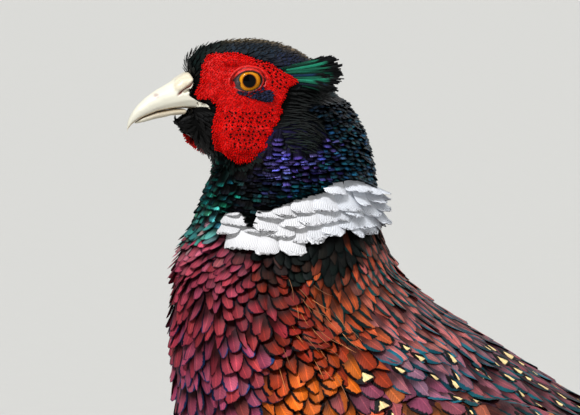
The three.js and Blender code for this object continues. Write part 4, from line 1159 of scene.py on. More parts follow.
# Wings: small coverts on the padded front, then two tiers of long vanes
wingTop = {"x": 128, "z": 264, "slope": -0.24, "curve": -0.0006}
flightLook = {"roughness": 0.62, "bars": 13, "light": paint(164, 136, 100), "dark": paint(88, 66, 47)}
wingLook = {"roughness": 0.62, "streak": 0.1, "cloud": 0.35, "soft": 0.1, "tip": 0.95,
            "shaft": paint(92, 72, 52), "shaftShow": 0.5, "shaftWidth": 0.06, "barbs": 150, "slant": 30}
covertLook = {"roughness": 0.6, "metallic": 0.05, "streak": 0.1, "cloud": 0.4, "soft": 0.1, "tip": 0.93,
                            "halo": paint(46, 26, 18), "centre": paint(222, 204, 168),
                            "shaft": paint(150, 120, 88), "shaftShow": 0.3}


def wingSpacing(x):  # between the flight feathers' shafts, 8 mm at the wrist and 4.1 mm near the tips
    return 8 + (4.1 - 8) * (x - 128) / (262 - 128)


def wingLine(x, number):
    along = x - wingTop["x"]
    return wingTop["z"] + wingTop["slope"] * along + wingTop["curve"] * along**2 - number * wingSpacing(x)


def wingTier(side, tips, root, lift, share, first, half, tones):
    vanes = []
    s = np.array([0, 0.12, 0.3, 0.5, 0.68, 0.82, 0.91, 0.965, 1.0])
    wide = np.array([0.5, 0.78, 0.96, 1.0, 1.0, 0.94, 0.8, 0.55, 0.12])
    for i, tip in enumerate(tips):
        x = root + (tip - root) * s
        spacing = wingSpacing(x) * share
        crowd = wingSpacing(x) / wingSpacing(root)
        z = wingLine(x, first + i * share)
        ride = lift + 0.75 * (half * crowd) / spacing
        middle = layPoint(x, z, ride - 2.4 * (1 - smooth(0, 0.25, s)), side)
        above = layPoint(x, z + 2, ride + 2 * -0.9 / spacing, side)
        across = unit(middle - above)
        up = unit(np.cross(across, unit(np.gradient(middle, axis=0)))) * side
        up = up * np.sign((up * [0, side, 0]).sum(-1, keepdims=True))
        tone = tones[0] * rng.uniform(0.85, 1.12) * (1 + 0.05 * rng.normal(size=3))
        vanes.append({"middle": middle, "side": across, "up": up, "half": wide * half * crowd,
                      "inner": wide * half * crowd, "thick": 0.4, "arch": 0.03, "tone": tone,
                      "edge": tones[1], "rim": 0.86, "along": s})
    return vanes


def spreadTips(count, tips):  # ends in X of count feathers, from a few given along the tier
    return np.interp(np.linspace(0, len(tips) - 1, count), range(len(tips)), tips)


def makeLongWingFeathers(side, hand):
    flight = spreadTips(12, [240, 250, 258, 263, 264, 259, 250, 237, 221])
    greater = spreadTips(11, [178, 187, 190, 187, 179])
    middle = spreadTips(13, [150, 158, 160, 157, 148])
    piece = longVanes("wing_flight_" + hand, wingTier(side, flight, 128, 0.5, 8 / 11, 0, 11,
                                                      (paint(112, 84, 58), paint(64, 46, 34))))
    facesOut(piece)
    barredMaterial(piece, "flightBars_" + hand, flightLook)
    putDown(piece, ["wing_" + hand])
    vanes = wingTier(side, greater, 104, 3.4, 0.75, 0.2, 8.5, (paint(150, 120, 92), paint(120, 62, 40)))
    vanes += wingTier(side, middle, 92, 4.9, 0.62, 0.1, 7, (paint(158, 134, 108), paint(128, 66, 42)))
    piece = longVanes("wing_coverts_" + hand, vanes)
    facesOut(piece)
    featherMaterial(piece, "covertVanes_" + hand, wingLook)
    putDown(piece, ["wing_" + hand])


def makeSmallCoverts(side, hand, surface):
    rows = []
    for c in range(34):
        number = -3.2 + c * 0.46
        x = np.arange(24 + 3.6 * (c % 2), 136, 7.2)
        spots = x + rng.uniform(-0.6, 0.6, len(x))
        height = wingLine(x, number + rng.uniform(-0.05, 0.05, len(x)))
        rows.append(np.stack([spots, height, np.full(len(x), number)], -1))
    x, z, number = np.concatenate(rows).T
    kept = (outlineReach(wingPad["outline"], x, z) > -2) & (z < 286 + rng.uniform(-3, 3, len(x)))
    x, z, number = x[kept], z[kept], number[kept]
    root = layPoint(x, z, 3.0, side)
    ahead = layPoint(x + 3, wingLine(x + 3, number), 3.0, side)
    count = len(root)
    grow = smooth(24, 120, x)
    place = np.stack([x / 180, (z - 180) / 125], -1)
    feathers = flock(root, unit(ahead - root), 0.2, place,
                     width=(6.2 + 3.4 * grow) * rng.uniform(0.9, 1.1, count),
                     length=(15 + 6 * grow) * rng.uniform(0.9, 1.1, count), low=0.2,
                     high=(2.3 + 0.4 * grow) * rng.uniform(0.9, 1.15, count), camber=0.8, roll=0.3 * side,
                     curl=rng.uniform(-0.2, 0.2, count), sway=rng.normal(0, 0.04, count),
                     mark=(rng.random(count) < 0.5 * smooth(270, 285, z)).astype(float))
    high = smooth(262, 290, z)[:, None]
    tone = paint(164, 140, 112) * (1 - high) + paint(134, 62, 50) * high
    feathers["tone"] = tone * rng.uniform(0.8, 1.15, (count, 1))
    feathers["edge"] = paint(128, 66, 42) * (1 - high) + paint(40, 34, 32) * high
    layFeathers("wing_small_coverts_" + hand, (roundRows, 5), roundTip, feathers, surface,
                "smallCoverts_" + hand, covertLook, ["wing_" + hand])


def makeWings(surface):
    for side, hand in hands:
        makeLongWingFeathers(side, hand)
    for side, hand in hands:
        makeSmallCoverts(side, hand, surface)
    print("wings")


barBase = {"wobble": 0.05, "chevron": 0.035, "barFrom": -0.1, "barTo": 0.5, "barIn": 0.08, "fringeShow": 0.5,
           "barbs": 260, "shaft": (0.16, 0.1, 0.06)}


def barredMaterial(piece, name, look):  # dark bars on a light colour, or else on the piece's own
    look = {**barBase, **look}
    tree, shader = newMaterial(name, piece, look["roughness"])
    out, v = vanePlace(tree)[:2]
    place = texturePlace(tree, "Object")
    wobble = times(tree, minus(tree, noise(tree, place, 120, 3), 0.5), look["wobble"])
    along = plus(tree, minus(tree, v, times(tree, out, look["chevron"])), wobble)
    wave = calc(tree, "SINE", times(tree, along, look["bars"] * 2 * math.pi))
    bar = step(tree, wave, look["barFrom"], look["barTo"])
    bar = times(tree, bar, step(tree, out, look["barIn"], look["barIn"] + 0.2))
    base = look["light"] if "light" in look else attribute(tree, "tone")
    colour = mix(tree, bar, base, look["dark"])
    fringe = step(tree, plus(tree, out, times(tree, wobble, 2.0)), 0.72, 0.96)
    colour = mix(tree, times(tree, fringe, look["fringeShow"]), colour, attribute(tree, "edge"))
    shaft = step(tree, out, 0.07, 0.02)
    colour = mix(tree, times(tree, shaft, 0.7), colour, look["shaft"])
    barbs = calc(tree, "SINE", minus(tree, times(tree, v, look["barbs"]), times(tree, out, 60)))
    cloud = timesPlus(tree, noise(tree, place, 90, 4), 0.5, 0.75)
    colour = tint(tree, colour, times(tree, timesPlus(tree, barbs, 0.07, 0.95), cloud))
    wire(tree, colour, shader.inputs["Base Color"])
    bump(tree, shader, barbs, 0.2, 0.00015)


# Tail: pairs of long vanes, the longest in the middle and on top
tail = {"x": 258, "z": 228, "drop": 9, "lift": 0.00006,
        "pairs": [484, 435, 372, 312, 258, 212, 172, 140, 115], "outer": 13, "outerStep": -0.35,
        "inner": 9.5, "slopeOut": 0.325, "slopeIn": 0.176}

tailLook = {"roughness": 0.58, "dark": paint(30, 20, 15), "bars": 22, "barFrom": 0.35, "barTo": 0.7,
            "chevron": 0.012, "wobble": 0.012, "barIn": 0.02, "fringeShow": 0.6, "barbs": 900}


def tailLine(along):
    return tail["z"] - along * math.tan(math.radians(tail["drop"])) + along**2 * tail["lift"]


def tailVane(pair, length, side):
    level = -2.8 - 1.85 * (pair - 1) if pair else (2.4 if side < 0 else 0)
    s = np.array([0, 0.05, 0.12, 0.22, 0.32, 0.42, 0.52, 0.61, 0.7, 0.78, 0.85, 0.91, 0.955, 0.985, 1.0])
    wide = np.interp(s, [0, 0.12, 0.4, 0.7, 0.9, 1], [0.4, 0.85, 1, 0.8, 0.46, 0.06])
    along = s * length
    shaft = (3.5 + 2 * pair) * np.minimum(1, 0.6 + 0.4 * along / 70)
    outer = (tail["outer"] + pair * tail["outerStep"]) * wide
    inner = tail["inner"] * wide
    if pair:
        inner = np.minimum(inner, shaft - 0.3)
    middle = np.stack([tail["x"] + along, side * shaft, tailLine(along) + level + 0.5], -1)
    lean = (tail["slopeOut"] - tail["slopeIn"]) / 2
    rng.normal()  # not used, and drawn to keep the order of the draws that follow
    across, up = unit(np.array([0, side, -lean])), unit(np.array([0, side * lean, 1]))
    return {"middle": middle, "side": np.tile(across, (len(s), 1)), "up": np.tile(up, (len(s), 1)),
            "half": outer, "inner": inner, "arch": (tail["slopeOut"] + tail["slopeIn"]) / 2 * 0.9,
            "thick": 0.5, "tone": paint(158, 118, 70) * rng.uniform(0.9, 1.1), "edge": paint(126, 74, 62),
            "along": s * length / tail["pairs"][0]}


def makeTail():
    vanes = [tailVane(pair, length, side) for pair, length in enumerate(tail["pairs"]) for side in (-1, 1)]
    piece = longVanes("tail_feathers", vanes, 9)
    facesOut(piece)
    barredMaterial(piece, "tailBars", tailLook)
    putDown(piece, ["tail"])
    print("tail")


# Thighs: soft loose feathers that run down to the hock
thighLook = {"roughness": 0.75, "streak": 0.1, "cloud": 0.5, "soft": 0.2, "tip": 0.9}


def makeThighFeathers(skin, surface):
    def region(points, normals):
        x, y, z = points.T
        return (z < 190) & (z > 80) & (np.abs(y) > 14) & (x > 60) & (x < 170) & ((z < 150) | (np.abs(y) > 30))
    root = scatter(skin, lambda p: 3.0 + 1.4 * float(smooth(90, 150, p[2])), region)[0]
    count = len(root)
    x, y, z = root.T
    size = smooth(86, 150, z)
    lie = np.stack([0.25 + 0 * x, 0.15 * np.sign(y), -1 + 0 * x], -1)
    place = np.stack([(x - 50) / 250 + np.where(y < 0, 0.0, 0.5), (z - 76) / 125], -1)
    feathers = flock(root, lie, 0.18, place, width=(4 + 4.5 * size) * rng.uniform(0.85, 1.15, count),
                     length=(11 + 7 * size) * rng.uniform(0.85, 1.15, count),
                     high=(1.1 + 1.9 * size) * rng.uniform(0.8, 1.2, count), camber=0.5,
                     curl=rng.uniform(-0.1, 0.4, count), sway=rng.normal(0, 0.08, count),
                     tone=paint(76, 50, 36) * rng.uniform(0.7, 1.25, (count, 1)), edge=paint(38, 26, 22))
    layFeathers("thigh_feathers", ([0.25, 0.6, 0.88], 5), [0.7, 1.0, 0.75], feathers, surface,
                "thighFluff", thighLook, ["thigh_left", "thigh_right"])


# White ring: rows of short fans with combed ends, low rows first
ringRows = [  # rows of fans, each fan given as degrees from the nape, height of its tip and width
    {"high": 3.3, "length": 13, "fans": [
        (119, 351.3, 15), (99.6, 349, 8), (88, 349.8, 9.5), (71.5, 353.5, 7), (60, 356, 9), (43.5, 356, 7),
        (30, 357.4, 9), (16, 358.2, 9), (4, 358.6, 9)]},
    {"high": 3.5, "length": 12, "fans": [
        (110.5, 358.2, 8), (128, 357, 9), (98, 356.8, 11.5), (83, 354.4, 10.5), (72.3, 355.2, 9.5),
        (60, 356.7, 10), (47.8, 359.2, 9), (34.8, 359, 9), (18, 359.6, 9), (5, 360.4, 9)]},
    {"high": 3.8, "length": 11.5, "fans": [
        (125, 360.8, 13), (100, 359, 11), (87.5, 359.7, 10.5), (76.3, 361, 10), (66, 361.6, 10),
        (54.6, 362, 10), (41.3, 363, 10), (27, 363.6, 9), (14, 364.8, 10), (3, 365.4, 9)]},
    {"high": 4.1, "length": 10.5, "fans": [
        (126, 364.6, 6), (101, 363.3, 9.5), (91, 363.9, 9.5), (79.6, 365, 9.5), (68, 365.5, 10),
        (50.4, 366, 13), (35, 367.6, 10), (20, 368, 10), (6, 368.5, 9)]},
    {"high": 4.5, "length": 9, "fans": [(59.5, 371.3, 8.5), (38, 372.6, 12), (22, 371.6, 9), (7, 371, 9)]},
]


def makeNeckRing(surface):
    fans = {"root": [], "lie": [], "width": [], "length": [], "high": [], "place": []}
    t = np.linspace(0.12, 0.4, 360)
    for n, row in enumerate(ringRows):
        for side, hand in hands:
            for angle, tip, width in row["fans"]:
                angle, tip = angle + rng.uniform(-0.8, 0.8), tip + rng.uniform(-0.5, 0.5)
                length = min(row["length"] * rng.uniform(0.92, 1.08), ringHeight("top", angle) + 3 - tip)
                line = bodyPoint(t, np.full(len(t), -side * angle))
                end, begin = (line[int(np.argmin(np.abs(line[:, 2] - z)))] for z in (tip, tip + length))
                fans["root"].append(begin)
                fans["lie"].append(end - begin)
                fans["length"].append(length)
                fans["width"].append(width * rng.uniform(1.0, 1.12))
                stand = 2.4 * float(smooth(42, 15, angle)) * (n > 0)
                fans["high"].append(row["high"] * rng.uniform(0.86, 1.12) + stand)
                fans["place"].append([0.5 + side * angle / 360, 0.1 + 0.17 * n])
    fans = {key: np.array(value, float) for key, value in fans.items()}
    count = len(fans["root"])
    # painted light: the rear fans get a cooler, bluer white than the front ones
    rear = smooth(90, 40, np.abs(fans["place"][:, :1] - 0.5) * 360)
    tone = paint(236, 236, 238) * (1 - rear) + paint(240, 246, 255) * rear
    fans.update(low=np.full(count, 0.5), bend=1.5, camber=fans["width"] * 0.09,
                roll=rng.uniform(-1.3, 1.3, count), curl=rng.uniform(-0.9, 0.3, count),
                sway=rng.normal(0, 0.08, count), thick=0.16, fray=0.07, rim=np.full(count, 1.3),
                mark=fans["width"] / 0.62, tone=tone * rng.uniform(0.9, 1.0, (count, 1)),
                edge=paint(150, 150, 156) * np.ones((count, 1)))
    pattern = vanePattern([0.04, 0.15, 0.35, 0.55, 0.72, 0.85, 0.94, 0.985], 25)
    shape = [0.5, 0.76, 0.9, 0.97, 1.0, 0.96, 0.8, 0.5]
    piece = featherPiece("neck_ring_feathers", pattern, shape, fans, surface)
    whiteMaterial(piece)
    putDown(piece, ["neck_ring"])
    print("ring", count)


def whiteMaterial(piece):
    tree, shader = newMaterial("whiteFans", piece, 0.72)
    out, along, u = vanePlace(tree)
    place = texturePlace(tree, "Object")
    turns = times(tree, times(tree, u, 2 * math.pi), attribute(tree, "mark", "Fac"))
    comb = calc(tree, "SINE", plus(tree, turns, times(tree, noise(tree, place, 300, 2), 7.0)))
    # painted shade: near-black lines in the slits between the barbs towards the fan's end
    gap = times(tree, step(tree, comb, 0.35, 1.0), step(tree, along, 0.45, 1.0))
    colour = mix(tree, times(tree, gap, 0.95), attribute(tree, "tone"), (0.08, 0.08, 0.1))
    colour = mix(tree, times(tree, noise(tree, place, 180, 3), 0.3), colour, (0.6, 0.6, 0.64))
    wire(tree, colour, shader.inputs["Base Color"])
    bump(tree, shader, comb, 0.35, 0.0002)


# Bare red face
faceLook = {"voxel": 0.5, "spacing": 0.56}
lobeStretch = {"z": [383, 384.4, 385.9, 388.8, 391.8, 394.8, 397.7, 401, 405, 409],
               "back": [0, 2.0, 4.6, 5.6, 6.6, 7.2, 6.4, 1.6, -1.4, -0.6]}
wattleDots = {"rows": 9, "first": 402.2, "step": 1.6, "xFrom": -13.5, "xTo": 5.5, "gap": 1.6}


def dotPlaces():  # rows of tiny black feather points on the hanging lobe and behind the eye
    dots = []
    for row in range(wattleDots["rows"]):
        z = wattleDots["first"] - row * wattleDots["step"]
        x = wattleDots["xFrom"] + 0.9 * (row % 2) + max(0, row - 3) * 0.7
        while x < wattleDots["xTo"] - row * 0.9:
            dots.append((x + rng.uniform(-0.25, 0.25), z + 0.012 * (x + 4) ** 2 + rng.uniform(-0.2, 0.2)))
            x += wattleDots["gap"] * rng.uniform(0.85, 1.15)
    for ring in range(4):
        radius = 7.2 + ring * 1.5
        for k in range(9):
            angle = math.radians(-18 + k * 11 + 5 * (ring % 2))
            x, z = radius * math.cos(angle) * 1.05, radius * math.sin(angle) * 0.85
            dots.append((eye["middle"][0] + x, eyeLevel + z))
    return np.array(dots)


def lidReach(local, more=0.0):  # 1 on the rim of the eye's opening, or that much outside it
    tilt = math.radians(lids["tilt"])
    x, z = local[..., 0] - lids["x"], local[..., 2] - eyeLevel
    long, tall = x * math.cos(tilt) + z * math.sin(tilt), z * math.cos(tilt) - x * math.sin(tilt)
    more = more * np.where(tall < 0, 0.5, 1)
    return np.hypot(long / (lids["half"][0] + more), tall / (lids["half"][1] + more))


def facePlace(local):  # bake place on a side of the head
    return np.stack([(local[:, 0] + 25) / 42, (local[:, 2] - 382) / 44], -1)


def faceSkin(side, hand):
    face = remade("face_skin_" + hand, ["face_" + hand], faceLook["voxel"], 0.5, 3)
    points, normals = pointsOf(face), normalsOf(face)
    points = points - normals * 0.25
    local = turnHead(points, back=True)
    edgeX = np.interp(points[:, 2], [383, 386, 390, 394.5, 403.4, 411], [-6, -3, 0, 3.5, 7.5, 10])
    stretch = np.interp(points[:, 2], lobeStretch["z"], lobeStretch["back"])
    stretch = stretch * smooth(-9, 0, local[:, 0] - edgeX)
    points = points + stretch[:, None] * turnedBy([1, side * 0.12, 0])
    if side > 0:  # the far lobe hangs a little forward
        swing = smooth(402, 392, points[:, 2]) * smooth(-6, -16, local[:, 0])
        points = points + swing[:, None] * turnedBy([-5.9, 3.3, 2.3])
    opening = smooth(1.25, 0.95, lidReach(turnHead(points, back=True)))
    setPoints(face, points + (opening * -2.4)[:, None] * turnedBy([0, side, 0]))
    shadeSmooth(face)
    tree, shader = newMaterial("redSkin_" + hand, face, 0.6, 0.0, 0.2)
    grain = noise(tree, texturePlace(tree, "Object"), 1400, 3)
    reds = [(0.3, paint(130, 3, 2)), (0.6, paint(225, 9, 6)), (0.8, paint(250, 20, 10))]
    wire(tree, ramp(tree, grain, reds), shader.inputs["Base Color"])
    bump(tree, shader, grain, 0.6, 0.0003)
    putDown(face, ["face_" + hand])
    return face


def makePapillae(side, hand, face, dots):
    def region(points, normals):
        local = turnHead(points, back=True)
        x, y, z = local.T
        outward = normals @ np.array([math.sin(headTurn) * -side, side * math.cos(headTurn), 0]) > -0.25
        lid = lidReach(local, 1.3) < 1
        return outward & ~lid & (np.abs(y) > 7) & (outlineReach(underEye["outline"], x, z) < 0)
    root, normal = scatter(face, faceLook["spacing"], region)
    local = turnHead(root, back=True)
    x, y, z = local.T
    away = local - np.array([eye["middle"][0], side * 16, eyeLevel])
    away[:, 1] = 0
    away[:, 2] -= 6
    count = len(root)
    edge = smooth(2.6, 0.4, outlineReach(faceOutline, x, z))
    low = smooth(394, 386, z)
    height = (0.42 + 0.35 * edge + 0.3 * low) * rng.uniform(0.7, 1.3, count)
    lean = turnedBy(unit(away)) * (0.25 + 0.5 * edge + 0.35 * low)[:, None]
    direction = unit(normal * 0.85 + lean + rng.normal(0, 0.12, (count, 3)))
    black = np.zeros(count, bool)
    black[((local[:, None, [0, 2]] - dots[None]) ** 2).sum(-1).argmin(0)] = True
    tone = paint(248, 12, 6) * rng.uniform(0.62, 1.05, (count, 1)) * (1 - 0.14 * smooth(400, 412, z))[:, None]
    tone[black] = paint(8, 3, 3)
    radius = np.where(black, 0.4, 0.34 * rng.uniform(0.8, 1.25, count))
    height = np.where(black, height.mean() * 1.15, height)
    makeNubs("papillae_" + hand, root, direction, height, radius, tone, facePlace(local), "face_" + hand)


def makeFaces():
    dots = dotPlaces()
    for side, hand in hands:
        face = faceSkin(side, hand)
        makePapillae(side, hand, face, dots)
        makeUnderEye(side, hand, face)
    print("faces")


underEye = {"outline": [[-9.6, 411], [-4.6, 409.6], [-2, 410.6], [1.2, 410.6], [2.8, 409.6], [2.6, 407.2],
                        [-1, 406.8], [-4.4, 407.8], [-9.2, 409.6]]}


def makeUnderEye(side, hand, face):  # short blue-black feathers below the eye
    def region(points, normals):
        x, y, z = turnHead(points, back=True).T
        return (outlineReach(underEye["outline"], x, z) > -0.1) & (normals @ turnedBy([0, side, 0]) > 0.2)
    root = scatter(face, 0.6, region)[0]
    count = len(root)
    lie = np.tile(turnedBy([1, 0, -0.12]), (count, 1))
    feathers = flock(root, lie, 0.1, facePlace(turnHead(root, back=True)), width=rng.uniform(0.7, 1.0, count),
                     length=rng.uniform(1.6, 2.5, count), high=rng.uniform(0.8, 1.2, count), camber=0.15,
                     curl=rng.uniform(-0.1, 0.2, count), sway=rng.normal(0, 0.08, count),
                     tone=paint(20, 28, 58) * rng.uniform(0.4, 1.4, (count, 1)), edge=paint(4, 5, 12))
    layFeathers("under_eye_feathers_" + hand, shortRows, shortTip, feathers, surfaceOf(face),
                "underEye_" + hand, headLook, ["face_" + hand])


def makeNubs(name, root, direction, height, radius, tone, place, node):  # small round bulbs on the skin
    count = len(root)
    helper = np.where(np.abs(direction[:, :1]) < 0.8, [[1.0, 0, 0]], [[0, 0, 1.0]])
    a = unit(np.cross(direction, helper))
    b = np.cross(direction, a)
    points = []
    for rise, wide in ((-0.15, 1.0), (0.55, 0.9)):
        for k in range(4):
            angle = math.pi / 2 * k
            ring = a * math.cos(angle) + b * math.sin(angle)
            points.append(root + direction * (height * rise)[:, None] + ring * (radius * wide)[:, None])
    points.append(root + direction * height[:, None])
    points = np.stack(points, 1)
    size = points.shape[1]
    pattern = [(0, 1, 5, 4), (1, 2, 6, 5), (2, 3, 7, 6), (3, 0, 4, 7), (4, 5, 8), (5, 6, 8), (6, 7, 8),
               (7, 4, 8), (3, 2, 1, 0)]
    faces = [tuple(i + f * size for i in face) for f in range(count) for face in pattern]
    spots = np.array([(0, 0), (1, 0), (1, 1), (0, 1), (0.2, 0.2), (0.8, 0.2), (0.8, 0.8), (0.2, 0.8),
                      (0.5, 0.5)])
    uv = np.repeat(place, size, 0) + np.tile(spots - 0.5, (count, 1)) * bakeSpot
    rise = np.tile([0, 0, 0, 0, 0.6, 0.6, 0.6, 0.6, 1.0], count)
    piece = makePiece("face_" + name, points.reshape(-1, 3), faces, [("OFBake", uv)],
                      [("tone", np.repeat(tone, size, 0))], [("rise", rise)])
    tree, shader = newMaterial(name, piece, 0.55, 0.0, 0.06)
    # painted shade: each nub darker towards its root, in the crevices between the nubs
    baseShade = mix(tree, attribute(tree, "rise", "Fac"), (0.55, 0.3, 0.3), (1.05, 1.0, 1.0))
    grain = timesPlus(tree, noise(tree, texturePlace(tree, "Object"), 700, 2), 0.5, 0.75)
    colour = tint(tree, tint(tree, attribute(tree, "tone"), baseShade), grain)
    wire(tree, colour, shader.inputs["Base Color"])
    putDown(piece, [node])
    facesOut(piece)


# Eyes: a ball whose rings are set out from the point it looks along
eye = {"middle": (-3.4, 9.4, eyeLevel), "radius": 7.0, "look": -8.8, "pupil": 19.5, "iris": 38.0}


def makeEyes():
    p, q = eye["pupil"] / 90, eye["iris"] / 90
    rings = [(0, paint(3, 3, 5)), (p - 0.008, paint(3, 3, 5)), (p + 0.012, paint(150, 76, 10)),
             (p + 0.05, paint(226, 150, 26)), (q - 0.07, paint(222, 140, 24)), (q - 0.02, paint(170, 92, 14)),
             (q + 0.005, paint(22, 14, 10)), (q + 0.08, paint(52, 44, 44))]
    for side, hand in hands:
        selectOnly()
        middle = turnHead([eye["middle"][0], side * eye["middle"][1], eyeLevel])
        bpy.ops.mesh.primitive_uv_sphere_add(segments=96, ring_count=64, radius=eye["radius"] / 1000,
                                             location=toMetres(middle))
        ball = bpy.context.object
        ball.name = "eye_ball_" + hand
        aim = math.radians(eye["look"])
        axis = unit(turnedBy([math.sin(aim), side * math.cos(aim), 0.02]))
        ball.rotation_euler = Vector(axis).to_track_quat("Z", "Y").to_euler()
        bpy.ops.object.transform_apply(location=True, rotation=True, scale=True)
        points = pointsOf(ball)
        outward = unit(points - middle)
        angle = np.degrees(np.arccos(np.clip(outward @ axis, -1, 1)))
        setPoints(ball, points + outward * (0.35 * smooth(42, 10, angle))[:, None])
        valuePoints(ball, "fromAxis", angle / 90)
        shadeSmooth(ball)
        tree, shader = newMaterial("eye_" + hand, ball, 0.12, 0.0, 0.04)
        fibre = noise(tree, texturePlace(tree, "Object"), 900, 4)
        shaken = times(tree, minus(tree, fibre, 0.5), 0.02)
        colour = ramp(tree, plus(tree, attribute(tree, "fromAxis", "Fac"), shaken), rings)
        mottled = mix(tree, times(tree, fibre, 0.35), colour, tint(tree, colour, (0.5, 0.35, 0.2)))
        wire(tree, mottled, shader.inputs["Base Color"])
        shader.inputs["Coat Weight"].default_value = 0.12
        shader.inputs["Coat Roughness"].default_value = 0.02
        putDown(ball, ["eye_" + hand])
        makeLids(side, hand)
    print("eyes")


lids = {
    "x": -4.7, "half": (5.6, 4.0), "tilt": 9, "around": 96,
    # the paler pink ring on the rim's crest is a painted highlight; the dark red ring in the fold, the two
    # dark rings where the skin turns down and the last two under it are painted shade
    "rings": [  # distance outside the opening, height, colour; the last two run back underneath
        (-2.6, 0.1, (58, 52, 54)), (-1.4, 0.15, (74, 64, 66)), (-0.5, -0.2, (40, 30, 32)),
        (-0.25, 0.25, (52, 26, 26)), (0.0, 0.45, (150, 34, 28)), (0.25, 0.6, (216, 50, 38)),
        (0.6, 0.5, (214, 28, 18)), (0.9, 0.1, (110, 4, 4)), (1.3, 0.45, (210, 16, 8)),
        (1.8, 0.3, (206, 14, 8)), (2.3, -0.7, (130, 6, 6)), (2.0, -1.4, (90, 4, 4)),
        (-0.4, -1.5, (20, 10, 10)), (-2.4, -1.3, (20, 10, 10)),
    ],
}


def makeLids(side, hand):
    around, rings = lids["around"], lids["rings"]
    bed = surfaceOf(bpy.data.objects["face_skin_" + hand])[0]
    tilt, toward = math.radians(lids["tilt"]), turnedBy([0, -side, 0])
    points, tones, faces = [], [], []
    for r, (grow, rise,
            tone) in enumerate(rings):  # from the dark inner edge over the smooth rim and two folds
        for i in range(around):
            a = 2 * math.pi * i / around
            if grow > 0:
                reach = grow * (1 - 0.55 * max(0, -math.sin(a)))
            else:
                reach = max(grow, -0.5) + min(0, grow + 0.5) * max(0, -math.cos(a)) ** 3
            long = (lids["half"][0] + reach) * math.cos(a)
            tall = (lids["half"][1] + reach) * math.sin(a) * (1 - 0.22 * max(0, -math.cos(a)) ** 2)
            x = lids["x"] + long * math.cos(tilt) - tall * math.sin(tilt)
            z = eyeLevel + tall * math.cos(tilt) + long * math.sin(tilt)
            flat = math.hypot(x - eye["middle"][0], z - eyeLevel)
            ballY = eye["middle"][1] + math.sqrt(max(0.0, (eye["radius"] + 0.3) ** 2 - flat**2))
            hit = bed.ray_cast(Vector(turnHead([x, side * 40, z])), Vector(toward))[0]
            skinY = abs(turnHead(hit, back=True)[1]) if hit else ballY
            share = float(smooth(0.2, 1.2, grow))
            y = max(ballY, skinY - 0.7) * (1 - share) + max(skinY, ballY - 0.6) * share
            y += rise * (1 + 0.25 * math.sin(a * 13 + r) + 0.15 * math.sin(a * 29 + 2 * r))
            points.append(turnHead(np.array([x, side * y, z])))
            tones.append(paint(*tone) * (1 + 0.15 * math.sin(a * 23 + 2 * r)))
    for r in range(len(rings)):
        for i in range(around):
            j, n = (i + 1) % around, (r + 1) % len(rings)
            faces.append((r * around + i, r * around + j, n * around + j, n * around + i))
    piece = makePiece("eyelids_" + hand, np.array(points), faces, [], [("tone", np.array(tones))])
    facesOut(piece)
    grainyTone("lidSkin_" + hand, piece, 0.45, 0.3, (1600, 3), (0.7, 0.62), (0.5, 0.0002))
    putDown(piece, ["face_" + hand])


# Bill
billEdge = {"x": [-46.9, -46.5, -45.2, -43, -40, -36, -31.5, -26, -20, -14],
            "z": [394.4, 396.2, 397.9, 399.6, 401, 402.5, 403.4, 403.9, 403.5, 402.6]}


def blend(tone, share, colour):
    return tone * (1 - share[:, None]) + colour * share[:, None]


def coverCheek(points, normals, local, surface):  # the upper bill's rear corner lies over the cheek
    x, y, z = local.T
    for i in np.flatnonzero((x > -28) & (np.abs(y) > 3) & (z < 412)):
        out = turnedBy([0, float(np.sign(y[i])), 0])
        facing = float(smooth(-0.1, 0.35, normals[i] @ out))
        hit = surface[0].ray_cast(Vector(points[i] + out * 40), Vector(-out))[0]
        if hit and facing > 0:
            lift = float((np.array(hit) - points[i]) @ out) + 0.9
            points[i] += out * max(0.0, lift) * facing * float(smooth(-28, -25.5, x[i]))


def makeHorn(name, node, surface):
    horn = remade(name, [node], 0.36, 0.6, 8)
    points, normals = pointsOf(horn), normalsOf(horn)
    local = turnHead(points, back=True)
    x, y, z = local.T
    # painted shade: the horn darkened by up to 12% towards the bottom
    tone = blend(paint(232, 229, 212) * np.ones((len(x), 1)), 0.12 * smooth(408, 400, z), 0)
    ochre = paint(176, 134, 62)
    if node == "bill_upper":
        flap = np.hypot((x + 26.2) / 4.4, (z - 414.2 - (x + 26.2) * 0.7) / 3.1)
        flap = smooth(1.0, 0.7, flap) * smooth(0.5, 2, np.abs(y))
        slit = smooth(0.7, 0.2, np.abs(z - (409.7 + (x + 28.1) * 0.77)) * 0.8) * (np.abs(y) > 1.5)
        slit = slit * smooth(-29.6, -28.2, x) * smooth(-22.6, -23.6, x)
        points = points + normals * (0.45 * flap - 0.8 * slit)[:, None]
        coverCheek(points, normals, local, surface)
        rim = smooth(1.1, 0.25, np.abs(z - np.interp(x, billEdge["x"], billEdge["z"])))
        tone = blend(tone, 0.75 * rim, ochre)
        stain = smooth(1.4, 0.4, np.hypot(x + 36.4, (z - 408.6) / 0.9)) * 0.55
        tone = blend(tone, stain, paint(150, 110, 112))
        tone = blend(tone, slit, paint(120, 34, 18))
        tone = blend(tone, flap * 0.5, paint(226, 208, 176))
    else:
        tone = blend(tone, 0.75 * 0.35 * smooth(399, 402, z), ochre)
        tone = tone * paint(216, 212, 200) / paint(240, 238, 228)
    setPoints(horn, points)
    shadeSmooth(horn)
    paintPoints(horn, "tone", tone)
    grainyTone(name.replace("_", ""), horn, 0.38, None, (500, 4, 0.55, (0.25, 1, 1)), (0.3, 0.85),
               (0.25, 0.0002))
    putDown(horn, [node])


def makeBill(surface):
    makeHorn("bill_top_horn", "bill_upper", surface)
    makeHorn("bill_low_horn", "bill_lower", surface)
    print("bill")


# Legs
shankTop = {"top": 78, "low": 70, "from": (69, 82)}


def legMaterial(name, piece, roughness):
    tree, shader = newMaterial(name.replace("_", ""), piece, roughness)
    return tree, shader, texturePlace(tree, "Object")


